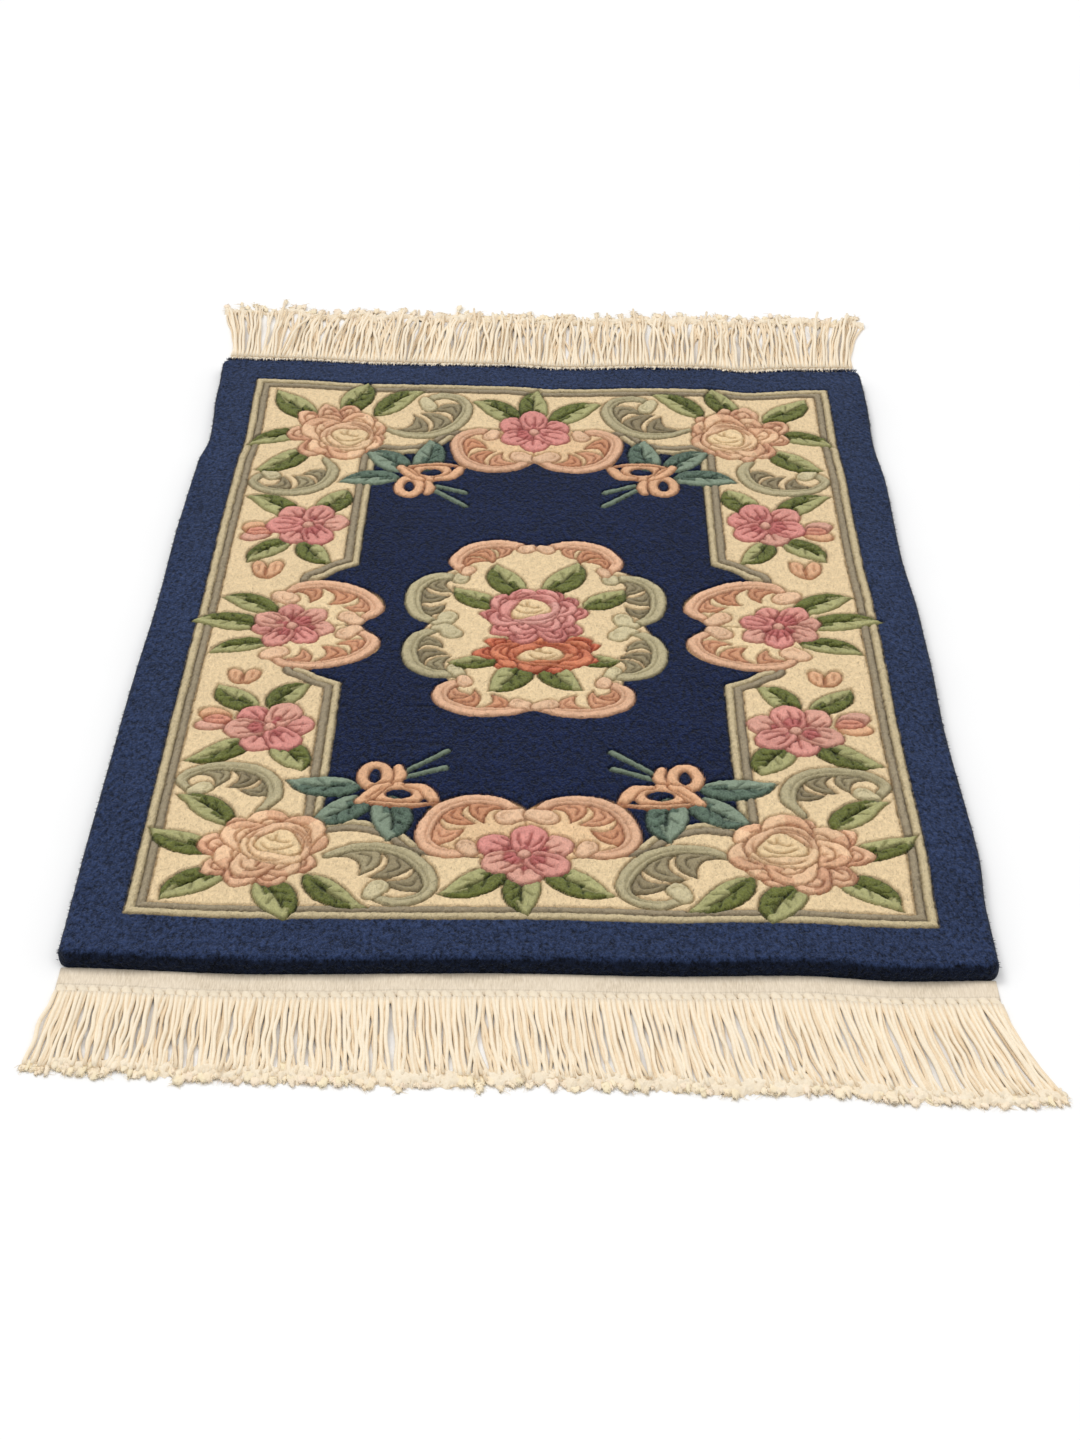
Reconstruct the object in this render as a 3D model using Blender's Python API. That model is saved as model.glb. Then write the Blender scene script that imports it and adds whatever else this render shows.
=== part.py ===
"""Small rectangular rug in knotted wool, with carved flower relief and a knotted cotton fringe.

Three solids, in metres, +Z up. The origin is the centre of the flat underside, and the fringed
ends lie along -Y (front) and +Y (back).

rug_body      pile and foundation: one slab with a slightly wandering outline, whose top face has
              the border lines, scrolls, flowers and leaves raised in its points
fringe_front  flat end band, its ridge of knots, and one tapered lock for each knot
fringe_back   the same at the other end, with longer locks
"""

import math
import random

import bmesh
import bpy
from mathutils import Vector, geometry

MM = 0.001

# Rug size
HALF_WIDTH = 306 * MM
HALF_LENGTH = 456 * MM
CORNER_RADIUS = 9 * MM
PILE_TOP = 13.2 * MM
EDGE_STEP = 20 * MM

# The slab's edge, from the floor up: how far in from the outline, and how high
EDGE_PROFILE = (
    (0.0, 0.0),
    (0.0, 6.5 * MM),
    (1.3 * MM, 11.0 * MM),
    (4.5 * MM, PILE_TOP),
)

# How far each edge wanders outwards: (place along it, outward step), both in mm
EDGE_SWELL = {
    "left": (
        (-450, 1), (-320, 2), (-140, 2), (10, 0), (125, 1),
        (185, 0), (243, -1), (290, -6), (395, -1), (455, 1),
    ),
    "right": (
        (-440, 1), (-395, 1), (-325, 5), (-170, 2), (-70, 4),
        (10, 4), (95, 1), (230, 3), (300, 0), (395, 3),
    ),
    "front": (
        (-305, -3), (-187, 1), (7, -4), (79, -3), (177, -6), (241, -2), (305, -4),
    ),
    "back": (
        (-305, 12), (-240, 10), (-155, 4), (-40, 4), (20, -1),
        (110, 5), (160, 5), (193, -2), (250, 5), (295, 7),
    ),
}

# Relief
GUARD_X = 269 * MM
GUARD_Y = 384 * MM
GUARD_WIDTH = 14 * MM
FIELD_X = 146 * MM
FIELD_Y = 277 * MM
STEP_Y = 88 * MM
RAISED = 1.6 * MM
SUNK = -1.2 * MM
PATTERN_MIDDLE_Y = -28 * MM

# End bands and fringe
GAP = 0.3 * MM
KNOTS = 86
FRINGE_HALF_WIDTH = 304 * MM
BAND_DEPTH = 22 * MM
BAND_THICKNESS = 2.2 * MM
KNOT_DEPTH = 8 * MM
KNOT_HEIGHT = 4.6 * MM
LOCK_WIDTH = 3.6 * MM
LOCK_HEIGHT = 3.0 * MM
TIP_WIDTH = 1.8 * MM
TIP_HEIGHT = 1.5 * MM
LOCK_STEPS = 3
LOCK_SWAY = 1.0 * MM

# Each end: which way it points, its locks' length, and how much its left and right corners add and spread
FRINGE_ENDS = {
    "fringe_front": {
        "side": -1, "length": 75 * MM, "extra": (0.0, 19 * MM), "spread": (15 * MM, 28 * MM), "seed": 5,
    },
    "fringe_back": {
        "side": 1, "length": 112 * MM, "extra": (2 * MM, 8 * MM), "spread": (22 * MM, 24 * MM), "seed": 9,
    },
}

# Motifs in one quarter of the pattern, in mm from its middle: across, then along
ARCS = (
    {"at": (37, 105), "size": (36, 33), "from_deg": 215, "sweep": -250, "band": 17, "points": 10},
    {"at": (70, 43), "size": (33, 39), "from_deg": 115, "sweep": -205, "band": 15, "points": 10},
    {"at": (40, 276), "size": (37, 37), "from_deg": 45, "sweep": 260, "band": 16, "points": 10},
    {"at": (164, 36), "size": (43, 28), "from_deg": 40, "sweep": 250, "band": 15, "points": 10},
    {"at": (100, 334), "size": (38, 36), "from_deg": 330, "sweep": -260, "band": 12, "points": 9},
    {"at": (214, 232), "size": (38, 32), "from_deg": 200, "sweep": -200, "band": 12, "points": 9},
)
LEAVES = (
    {"base": (214, 274), "tip": (250, 240), "width": 21},
    {"base": (232, 303), "tip": (262, 286), "width": 19},
    {"base": (216, 338), "tip": (247, 364), "width": 21},
    {"base": (176, 350), "tip": (163, 377), "width": 20},
    {"base": (145, 340), "tip": (112, 371), "width": 19},
    {"base": (210, 172), "tip": (250, 194), "width": 18},
    {"base": (184, 180), "tip": (168, 205), "width": 22},
    {"base": (212, 119), "tip": (240, 95), "width": 18},
    {"base": (190, 115), "tip": (173, 93), "width": 18},
    {"base": (128, 226), "tip": (174, 224), "width": 20},
    {"base": (119, 247), "tip": (145, 268), "width": 20},
    {"base": (98, 248), "tip": (97, 288), "width": 20},
    {"base": (218, 26), "tip": (252, 44), "width": 17},
    {"base": (17, 338), "tip": (58, 352), "width": 19},
    {"base": (14, 62), "tip": (34, 97), "width": 19},
    {"base": (47, 42), "tip": (66, 56), "width": 15},
)
FLOWERS = (
    {"at": (195, 148), "size": (33, 29), "petals": 5, "turn": 90},
)
ROSES = (
    {"at": (185, 306), "size": (45, 44), "petals": 9, "turn": 10},
)
BUDS = (
    {"at": (241, 140), "size": (13, 11)},
    {"at": (221, 81), "size": (11, 11)},
)
LOOPS = (
    {"at": (111, 216), "size": (13, 18), "band": 8},
    {"at": (87, 235), "size": (18, 12), "band": 7},
)

# Motifs on the pattern's middle lines: across, and along, where -Y is the front
MIDDLE_FLOWERS = (
    {"at": (-3, -311), "size": (34, 27), "petals": 6, "turn": 90},
    {"at": (-3, 305), "size": (34, 28), "petals": 6, "turn": -90},
    {"at": (-193, 0), "size": (30, 30), "petals": 7, "turn": 0},
    {"at": (194, 0), "size": (31, 30), "petals": 7, "turn": 180},
)
MIDDLE_ROSES = (
    {"at": (-1, 16), "size": (43, 36), "petals": 9, "turn": 0},
    {"at": (3, -45), "size": (43, 24), "petals": 8, "turn": 0},
)
MIDDLE_LEAVES = (
    {"base": (-3, -342), "tip": (-2, -374), "width": 19},
    {"base": (-3, 337), "tip": (-2, 366), "width": 18},
    {"base": (-227, 0), "tip": (-262, 6), "width": 18},
    {"base": (228, 0), "tip": (263, 4), "width": 18},
)


def eased(table, s):
    """Value at s of a table of (place, value) pairs, eased between them."""
    if s <= table[0][0]:
        return table[0][1]
    for (s0, v0), (s1, v1) in zip(table, table[1:]):
        if s <= s1:
            t = (s - s0) / (s1 - s0)
            return v0 + (v1 - v0) * t * t * (3 - 2 * t)
    return table[-1][1]


def wander(x, y):
    """Moves a point of the true rectangle with its uneven woven edges."""
    across = eased(EDGE_SWELL["right" if x > 0 else "left"], y / MM) * MM
    along = eased(EDGE_SWELL["back" if y > 0 else "front"], x / MM) * MM
    return x * (1 + across / HALF_WIDTH), y * (1 + along / HALF_LENGTH)


def rounded_rectangle(half_x, half_y, radius, step):
    """Anticlockwise loop with round corners, starting on the +X side."""
    loop = []
    corners = ((1, 1, 0), (-1, 1, 90), (-1, -1, 180), (1, -1, 270))
    for k, (sx, sy, start) in enumerate(corners):
        centre = (sx * (half_x - radius), sy * (half_y - radius))
        arc = []
        for j in range(4):
            angle = math.radians(start + 30 * j)
            arc.append((centre[0] + radius * math.cos(angle), centre[1] + radius * math.sin(angle)))
        if loop:
            loop += between(loop[-1], arc[0], step)
        loop += arc
    loop += between(loop[-1], loop[0], step)
    return loop


def between(a, b, step):
    """Even points strictly between a and b."""
    count = max(1, round(math.dist(a, b) / step))
    return [
        (a[0] + (b[0] - a[0]) * i / count, a[1] + (b[1] - a[1]) * i / count)
        for i in range(1, count)
    ]


def edge_loop(inset):
    """The rug's outline, drawn in by inset."""
    radius = max(CORNER_RADIUS - inset, 3 * MM)
    loop = rounded_rectangle(HALF_WIDTH - inset, HALF_LENGTH - inset, radius, EDGE_STEP)
    return [wander(x, y) for x, y in loop]


def end_line(side):
    """The outline's points along one end, from -X to +X."""
    return sorted(
        (x, y) for x, y in edge_loop(0.0)
        if side * y > HALF_LENGTH - 14 * MM and abs(x) < HALF_WIDTH - 1 * MM
    )


def along_line(line, x):
    """Height of a line of points at x, straight from point to point."""
    for (x0, y0), (x1, y1) in zip(line, line[1:]):
        if x <= x1:
            return y0 + (y1 - y0) * (x - x0) / (x1 - x0)
    return line[-1][1]


def drift(x, y):
    """Pattern to rug: the back half was woven a little longer, and rows run slightly askew."""
    if y > 0:
        y *= 1.04 + 0.25 * y
    askew = 0.028 * max(0.0, 1 - (abs(y) / (400 * MM)) ** 1.5)
    return x, y + PATTERN_MIDDLE_Y + askew * x


class Relief:
    """Points and edges of the top face, each point with its height over the pile."""

    def __init__(self):
        self.points = []
        self.heights = []
        self.edges = []
        self.placed = []

    def free(self, x, y):
        """True if no motif already covers this place."""
        spot = Vector((x, y))
        return not any(
            (low[0] < x < high[0] and low[1] < y < high[1])
            and inside(spot, polygon)
            for polygon, low, high in self.placed
        )

    def add_line(self, line, height, closed):
        """A chain of points, with an edge wherever two in a row are free."""
        drifted = [drift(x, y) for x, y in line]
        index = []
        for x, y in drifted:
            if self.free(x, y):
                index.append(len(self.points))
                self.points.append(Vector((x, y)))
                self.heights.append(height)
            else:
                index.append(None)
        pairs = list(zip(index, index[1:]))
        if closed:
            pairs.append((index[-1], index[0]))
        self.edges += [(a, b) for a, b in pairs if a is not None and b is not None]

    def cover(self, polygon, margin=1.5 * MM):
        """Keeps later motifs off this one, and a margin round it."""
        drifted = [Vector(drift(x, y)) for x, y in polygon]
        middle = sum(drifted, Vector((0, 0))) / len(drifted)
        grown = [p + (p - middle).normalized() * margin for p in drifted]
        low = (min(p.x for p in grown), min(p.y for p in grown))
        high = (max(p.x for p in grown), max(p.y for p in grown))
        self.placed.append((grown, low, high))


def inside(spot, polygon):
    """Even-odd test."""
    hit = False
    for a, b in zip(polygon, polygon[1:] + polygon[:1]):
        if (a.y > spot.y) != (b.y > spot.y):
            if spot.x < a.x + (spot.y - a.y) * (b.x - a.x) / (b.y - a.y):
                hit = not hit
    return hit


def mirrored(point, sx, sy):
    return sx * point[0] * MM, sy * point[1] * MM


def leaf(relief, base, tip, width, sx=1, sy=1):
    """A pointed leaf with a raised midrib."""
    bx, by = mirrored(base, sx, sy)
    tx, ty = mirrored(tip, sx, sy)
    length = math.hypot(tx - bx, ty - by)
    ux, uy = (tx - bx) / length, (ty - by) / length
    half = width * MM / 2
    outline = []
    flank = ((0.22, 0.8), (0.5, 1), (0.78, 0.6))
    for share, spread in ((0, 0), *flank, (1, 0), *((a, -b) for a, b in reversed(flank))):
        outline.append((
            bx + ux * length * share - uy * half * spread,
            by + uy * length * share + ux * half * spread,
        ))
    rib = [(bx + ux * length * share, by + uy * length * share) for share in (0.3, 0.65)]
    relief.add_line(outline, 0.0, closed=True)
    relief.add_line(rib, RAISED, closed=False)
    relief.cover(outline)


def arc_scroll(relief, at, size, from_deg, sweep, band, points, sx=1, sy=1):
    """A C-shaped scroll: outer and inner outlines with a raised ridge between them."""
    cx, cy = mirrored(at, sx, sy)
    rings = []
    for inset, height in ((0, 0.0), (band / 2, RAISED), (band, 0.0)):
        ring = []
        for i in range(points):
            t = i / (points - 1)
            angle = math.radians(from_deg + sweep * t)
            ends = math.sin(math.pi * min(max(t, 0.04), 0.96)) ** 0.5
            pull = band / 2 + (inset - band / 2) * ends
            ring.append((
                cx + sx * (size[0] - pull) * MM * math.cos(angle),
                cy + sy * (size[1] - pull) * MM * math.sin(angle),
            ))
        rings.append((ring, height))
    for ring, height in rings:
        relief.add_line(ring, height, closed=False)
    relief.cover(rings[0][0] + rings[2][0][::-1], margin=1 * MM)


def blossom(relief, at, size, petals, turn, heart, sx=1, sy=1):
    """A round flower: a lobed outline, raised petals, and a dip or a boss in the middle."""
    cx, cy = mirrored(at, sx, sy)

    def place(reach, share):
        angle = math.radians(turn) + 2 * math.pi * share / petals
        return (
            cx + sx * size[0] * MM * reach * math.cos(angle),
            cy + sy * size[1] * MM * reach * math.sin(angle),
        )

    outline = [place(0.86 if i % 3 == 0 else 1.0, i / 3) for i in range(petals * 3)]
    crowns = [place(0.68, i + 0.5) for i in range(petals)]
    inner = [place(0.42, i) for i in range(petals)]
    relief.add_line(outline, 0.0, closed=True)
    relief.add_line(crowns, RAISED, closed=False)
    relief.add_line(inner, heart, closed=True)
    relief.add_line([(cx, cy)], RAISED, closed=False)
    relief.cover(outline)


def ellipse(middle, size, inset, count):
    """Points round an ellipse whose half sizes, in mm, are drawn in by inset."""
    return [
        (
            middle[0] + (size[0] - inset) * MM * math.cos(2 * math.pi * i / count),
            middle[1] + (size[1] - inset) * MM * math.sin(2 * math.pi * i / count),
        )
        for i in range(count)
    ]


def bud(relief, at, size, sx=1, sy=1):
    """A small domed bud."""
    cx, cy = mirrored(at, sx, sy)
    outline = ellipse((cx, cy), size, 0.0, 8)
    relief.add_line(outline, 0.0, closed=True)
    relief.add_line([(cx, cy)], RAISED, closed=False)
    relief.cover(outline)


def ribbon_loop(relief, at, size, band, sx=1, sy=1):
    """One loop of a bow: a raised ring round a hole."""
    cx, cy = mirrored(at, sx, sy)
    rings = []
    for inset, height in ((0, 0.0), (band / 2, RAISED), (band, 0.0)):
        rings.append((ellipse((cx, cy), size, inset, 9), height))
    for ring, height in rings:
        relief.add_line(ring, height, closed=True)
    relief.cover(rings[0][0])


def border_lines(relief):
    """The double guard line: two raised stripes with a groove between and beside them."""
    for inset, height in ((-1.5, SUNK), (3, RAISED), (7, SUNK), (10.5, RAISED / 2), (14, SUNK)):
        half_x, half_y = GUARD_X - inset * MM, GUARD_Y - inset * MM
        corners = ((half_x, half_y), (-half_x, half_y), (-half_x, -half_y), (half_x, -half_y))
        loop = []
        for a, b in zip(corners, corners[1:] + corners[:1]):
            loop += [a] + between(a, b, 42 * MM)
        relief.add_line(loop, height, closed=True)


def field_lines(relief):
    """The stepped outline of the inner field, in four like pieces between the scrolls."""
    for outset, height in ((-1.5, SUNK), (3.5, RAISED), (7.5, SUNK), (14, SUNK)):
        o = outset * MM
        side = [(FIELD_X + 36 * MM + o * 0.4, STEP_Y - 24 * MM + o * 0.8)]
        side.append((FIELD_X + o, STEP_Y + o * 0.4))
        side += between((FIELD_X + o, STEP_Y), (FIELD_X + o, FIELD_Y), 34 * MM)
        corner = [(FIELD_X + o, FIELD_Y + o)]
        arch = [(FIELD_X - 34 * MM, FIELD_Y - 3 * MM + o), (80 * MM, FIELD_Y + 12 * MM + o * 0.8)]
        for sx in (-1, 1):
            for sy in (-1, 1):
                relief.add_line([(sx * x, sy * y) for x, y in side + corner + arch], height, closed=False)


def ground(relief):
    """Sparse points over the plain wool, with the slight unevenness of clipped pile."""
    lumps = random.Random(3)
    for i in range(-6, 7):
        for j in range(-9, 10):
            x = i * 46 * MM + lumps.uniform(-9, 9) * MM
            y = j * 48 * MM + lumps.uniform(-9, 9) * MM
            lift = lumps.uniform(-0.3, 0.5) * MM
            close = any((p - Vector((x, y))).length < 9 * MM for p in relief.points)
            if not close and abs(x) < HALF_WIDTH - 16 * MM and abs(y) < HALF_LENGTH - 16 * MM:
                relief.points.append(Vector((x, y)))
                relief.heights.append(lift)


def motifs(relief):
    """All motifs, those that lie on top first."""
    for row in MIDDLE_ROSES:
        blossom(relief, heart=0.2 * MM, **row)
    for row in MIDDLE_FLOWERS:
        blossom(relief, heart=0.2 * MM, **row)
    quarters = [(sx, sy) for sx in (-1, 1) for sy in (-1, 1)]
    for rows, draw in ((ROSES, blossom), (FLOWERS, blossom)):
        for row in rows:
            for sx, sy in quarters:
                draw(relief, heart=0.2 * MM, sx=sx, sy=sy, **row)
    for rows, draw in ((LOOPS, ribbon_loop), (BUDS, bud), (LEAVES, leaf), (ARCS, arc_scroll)):
        for row in rows:
            for sx, sy in quarters:
                draw(relief, sx=sx, sy=sy, **row)
    for row in MIDDLE_LEAVES:
        leaf(relief, **row)


def rug_body():
    """Slab with a flat underside, rounded pile edges and a carved top."""
    relief = Relief()
    motifs(relief)
    border_lines(relief)
    field_lines(relief)
    ground(relief)

    rings = [(edge_loop(inset), z) for inset, z in EDGE_PROFILE]
    rim = [Vector(p) for p in rings[-1][0]]
    count = len(rim)
    points = rim + relief.points
    edges = [(i, (i + 1) % count) for i in range(count)]
    edges += [(a + count, b + count) for a, b in relief.edges]
    verts, _, faces, sources, _, _ = geometry.delaunay_2d_cdt(points, edges, [], 1, 0.0002, True)

    bm = bmesh.new()
    rim_verts = [None] * count
    top = []
    for place, source in zip(verts, sources):
        origin = [s for s in source if s < count]
        inner = [relief.heights[s - count] for s in source if s >= count]
        height = 0.0 if origin or not inner else max(inner)
        vert = bm.verts.new((place.x, place.y, PILE_TOP + height))
        top.append(vert)
        for s in origin:
            rim_verts[s] = vert
    for face in faces:
        middle = sum((verts[i] for i in face), Vector((0, 0))) / len(face)
        if inside(middle, rim):
            bm.faces.new([top[i] for i in face])

    above = rim_verts
    for loop, z in reversed(rings[:-1]):
        below = [bm.verts.new((x, y, z)) for x, y in loop]
        for i in range(count):
            j = (i + 1) % count
            bm.faces.new((above[i], below[i], below[j], above[j]))
        above = below
    bm.faces.new(list(reversed(above)))
    return bm


def fringe(side, length, extra, spread, seed):
    """End band, ridge of knots and locks, in one closed solid lying on the floor."""
    bm = bmesh.new()
    loose = random.Random(seed)
    pitch = 2 * FRINGE_HALF_WIDTH / KNOTS
    section = (
        (0.0, 0.0),
        (0.0, BAND_THICKNESS),
        (BAND_DEPTH, BAND_THICKNESS),
        (BAND_DEPTH + KNOT_DEPTH / 2, KNOT_HEIGHT),
        (BAND_DEPTH + KNOT_DEPTH, LOCK_HEIGHT),
        (BAND_DEPTH + KNOT_DEPTH, 0.0),
    )

    stations = [-FRINGE_HALF_WIDTH]
    for i in range(KNOTS):
        middle = -FRINGE_HALF_WIDTH + (i + 0.5) * pitch
        stations += [middle - LOCK_WIDTH / 2, middle + LOCK_WIDTH / 2]
    stations.append(FRINGE_HALF_WIDTH)

    rows = []
    line = end_line(side)
    for x in stations:
        back = along_line(line, x) + side * GAP
        rows.append([bm.verts.new((x, back + side * depth, z)) for depth, z in section])

    last = len(section) - 1
    for k, (row, following) in enumerate(zip(rows, rows[1:])):
        is_lock = k % 2 == 1
        for a in range(len(section)):
            b = (a + 1) % len(section)
            if is_lock and a == last - 1:
                continue
            bm.faces.new((row[a], row[b], following[b], following[a]))
        if is_lock:
            ring = [row[last], following[last], following[last - 1], row[last - 1]]
            lock(bm, ring, side, length, extra, spread, loose)
    bm.faces.new(rows[0])
    bm.faces.new(list(reversed(rows[-1])))
    return bm


def lock(bm, ring, side, length, extra, spread, loose):
    """One tapered, slightly swaying lock, grown from its cell in the strip's outer wall."""
    middle = (ring[0].co.x + ring[1].co.x) / 2
    root = ring[0].co.y
    share = middle / FRINGE_HALF_WIDTH
    left, right = max(-share, 0), max(share, 0)
    lean = spread[1] * right ** 3 - spread[0] * left ** 3
    reach = length + extra[0] * left ** 4 + extra[1] * right ** 4 + loose.uniform(-5, 5) * MM
    sway = [0.0] + [loose.uniform(-1, 1) * LOCK_SWAY for _ in range(LOCK_STEPS)]
    for step in range(1, LOCK_STEPS + 1):
        t = step / LOCK_STEPS
        x = middle + lean * t ** 1.3 + sway[step]
        y = root + side * reach * t
        half = (LOCK_WIDTH + (TIP_WIDTH - LOCK_WIDTH) * t) / 2
        z = LOCK_HEIGHT + (TIP_HEIGHT - LOCK_HEIGHT) * t
        corners = ((x - half, 0.0), (x + half, 0.0), (x + half, z), (x - half, z))
        following = [bm.verts.new((cx, y, cz)) for cx, cz in corners]
        for a in range(4):
            b = (a + 1) % 4
            bm.faces.new((ring[a], ring[b], following[b], following[a]))
        ring = following
    bm.faces.new(ring)


def material(name, colour, roughness):
    made = bpy.data.materials.new(name)
    made.use_nodes = True
    shader = made.node_tree.nodes["Principled BSDF"]
    shader.inputs["Base Color"].default_value = (*colour, 1.0)
    shader.inputs["Roughness"].default_value = roughness
    shader.inputs["Metallic"].default_value = 0.0
    return made


def add_object(name, bm, surface):
    bmesh.ops.recalc_face_normals(bm, faces=bm.faces)
    mesh = bpy.data.meshes.new(name)
    bm.to_mesh(mesh)
    bm.free()
    mesh.materials.append(surface)
    made = bpy.data.objects.new(name, mesh)
    bpy.context.scene.collection.objects.link(made)
    return made


def main():
    for old in list(bpy.data.objects):
        bpy.data.objects.remove(old)
    wool = material("wool_pile", (0.018, 0.032, 0.11), 0.95)
    cotton = material("cotton_front", (0.80, 0.72, 0.58), 0.9)
    cotton_back = material("cotton_back", (0.80, 0.72, 0.58), 0.9)
    add_object("rug_body", rug_body(), wool)
    add_object("fringe_front", fringe(**FRINGE_ENDS["fringe_front"]), cotton)
    add_object("fringe_back", fringe(**FRINGE_ENDS["fringe_back"]), cotton_back)


main()
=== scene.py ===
"""Carved wool rug with cotton fringes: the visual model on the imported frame.

Every length below is in millimetres until it is turned into metres for a mesh.
"""
import math

import bpy
import numpy as np
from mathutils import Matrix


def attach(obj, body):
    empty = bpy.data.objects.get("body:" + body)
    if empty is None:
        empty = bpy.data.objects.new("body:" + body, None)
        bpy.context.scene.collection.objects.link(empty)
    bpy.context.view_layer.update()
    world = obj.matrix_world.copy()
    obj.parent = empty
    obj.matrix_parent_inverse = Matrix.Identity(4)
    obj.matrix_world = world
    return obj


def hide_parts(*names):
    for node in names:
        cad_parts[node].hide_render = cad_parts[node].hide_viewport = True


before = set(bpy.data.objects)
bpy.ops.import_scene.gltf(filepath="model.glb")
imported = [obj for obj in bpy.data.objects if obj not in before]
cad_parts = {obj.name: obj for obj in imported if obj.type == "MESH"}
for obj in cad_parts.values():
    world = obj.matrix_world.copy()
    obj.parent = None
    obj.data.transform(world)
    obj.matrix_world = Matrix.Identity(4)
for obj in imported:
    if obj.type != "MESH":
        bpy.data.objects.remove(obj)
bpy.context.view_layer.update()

MM = 0.001
SEED = 20

# Rug, as in the CAD model
HALF_WIDTH = 306.0
HALF_LENGTH = 456.0
CORNER_RADIUS = 9.0
FOUNDATION_INSET = 1.2
PILE_TOP = 13.2
# Rows of the pile's side: place inward of the rim, height
SIDE_ROWS = ((0.6, 0.4), (0.0, 3.0), (0.0, 6.5), (0.4, 9.0), (1.3, 11.0), (2.6, 12.4), (4.5, 13.2))
# How far each edge wanders outward: place along the edge, outward step
SWELL = {
    "left": ((-450, 1), (-320, 2), (-140, 2), (10, 0), (125, 1), (185, 0), (243, -1), (290, -6),
             (395, -1), (455, 1)),
    "right": ((-440, 1), (-395, 1), (-325, 5), (-170, 2), (-70, 4), (10, 4), (95, 1), (230, 3),
              (300, 0), (395, 3)),
    "front": ((-305, -3), (-187, 1), (7, -4), (79, -3), (177, -6), (241, -2), (305, -4)),
    "back": ((-305, 12), (-240, 10), (-155, 4), (-40, 4), (20, -1), (110, 5), (160, 5), (193, -2),
             (250, 5), (295, 7)),
}
PATTERN_MIDDLE = -28.0
GUARD = (269.0, 384.0)
# Pitch of the pile's grid, and points along a side of one of its patches
GRID = 1.185
BLOCK = 6

# Fringe
BAND_DEPTH = 22.0
FRINGE_HALF = 304.0
KNOTS = 86
SHORT_SHARE = 0.03
FLOOR_GAP = 0.06

# Wool tips loose on the rim, and how much thicker they stand at the back
FUZZ_COUNT = 6400
FUZZ_BACK = 2.6


def srgb(*values):
    """Linear colour of an sRGB one given in 0-255."""
    linear = []
    for value in values:
        part = value / 255.0
        linear.append(part / 12.92 if part <= 0.04045 else ((part + 0.055) / 1.055) ** 2.4)
    return np.array(linear)


NAVY = srgb(15, 26, 57)
# Navy of the border: the navy dye, painted lighter for the sheen its pile catches
NAVY_WITH_BORDER_SHEEN = srgb(37, 49, 78)
IVORY = srgb(239, 212, 168)
BEIGE = srgb(209, 191, 152)
TAUPE = srgb(160, 146, 120)
PEACH = srgb(234, 187, 152)
APRICOT = srgb(209, 146, 108)
RUST = srgb(178, 102, 72)
CREAM = srgb(244, 214, 168)
SAGE = srgb(190, 178, 141)
MOSS = srgb(142, 128, 99)
LEAF = srgb(178, 175, 122)
OLIVE = srgb(108, 113, 58)
TEAL = srgb(138, 153, 132)
PINE = srgb(95, 113, 97)
PINK = srgb(224, 150, 140)
ROSE = srgb(194, 100, 100)
BLUSH = srgb(224, 172, 150)
BOW = srgb(232, 182, 142)
CORAL = srgb(220, 128, 96)
BRICK = srgb(158, 66, 50)

# Rise of a motif's middle over its edge, and depth of the cut round it
CROWN = 0.5
CUT = 2.3
# How much wider an incised line opens in the pile, and how much painted shade darkens the cuts and the
# pile's side
LINE_SPREAD = 1.2
CUT_SHADE = 0.88
SIDE_SHADE = 0.72


# ---------------------------------------------------------------- numbers and shapes
def ease(value):
    value = np.clip(value, 0.0, 1.0)
    return value * value * (3.0 - 2.0 * value)


def table(rows, place):
    """Value of a table of (place, value) at the places asked, eased between its rows."""
    places = np.array([row[0] for row in rows], float)
    values = np.array([row[1] for row in rows], float)
    place = np.asarray(place, float)
    row = np.clip(np.searchsorted(places, place) - 1, 0, len(places) - 2)
    share = ease((place - places[row]) / (places[row + 1] - places[row]))
    return values[row] + (values[row + 1] - values[row]) * share


def wander(x, y):
    """Where a point of the true rectangle lies on the hand-made rug."""
    side = np.where(x < 0, table(SWELL["left"], y), table(SWELL["right"], y))
    end = np.where(y < 0, table(SWELL["front"], x), table(SWELL["back"], x))
    return x * (1 + side / HALF_WIDTH), y * (1 + end / HALF_LENGTH)


def to_pattern(x, y):
    """Places in the pattern, which is drawn straight, of places on the rug, where it drifted."""
    lean = ((-412, -0.004), (-330, 0.007), (-180, 0.0125), (-28, 0.026), (140, 0.031), (310, 0.028),
            (415, 0.0))
    level = y - table(lean, y) * x
    drawn = np.linspace(0, 400, 801)
    laid = drawn * (1 + 0.115 * ease((drawn - 45) / 45) + 0.025 * ease((drawn - 300) / 84))
    up = level - PATTERN_MIDDLE
    v = np.where(up < 0, up, np.interp(up, laid, drawn))
    end = np.where(y < 0, table(SWELL["front"], x), table(SWELL["back"], x))
    v = v - np.sign(y) * 0.9 * end * np.clip(np.abs(v) / 384, 0, 1.1) ** 4
    side = np.where(x < 0, table(SWELL["left"], y), table(SWELL["right"], y))
    u = x - 0.5 * side * x / HALF_WIDTH + 3.5 * np.clip(1 - np.abs(x) / 200, 0, 1)
    u = u - 2.5 * np.clip((x - 200) / 70, 0, 1)
    return u, v


def speckle(x, y, size, seed):
    """Smooth noise of -1 to 1 whose lumps are about `size` across."""
    cells = np.random.default_rng(seed).uniform(-1, 1, (256, 256))
    a = x / size + 1000.0
    b = y / size + 1000.0
    ia = np.floor(a).astype(int)
    ib = np.floor(b).astype(int)
    fa = ease(a - ia)
    fb = ease(b - ib)

    def row(step):
        near, far = (cells[(ia + k) % 256, (ib + step) % 256] for k in (0, 1))
        return near * (1 - fa) + far * fa

    return row(0) * (1 - fb) + row(1) * fb


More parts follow.
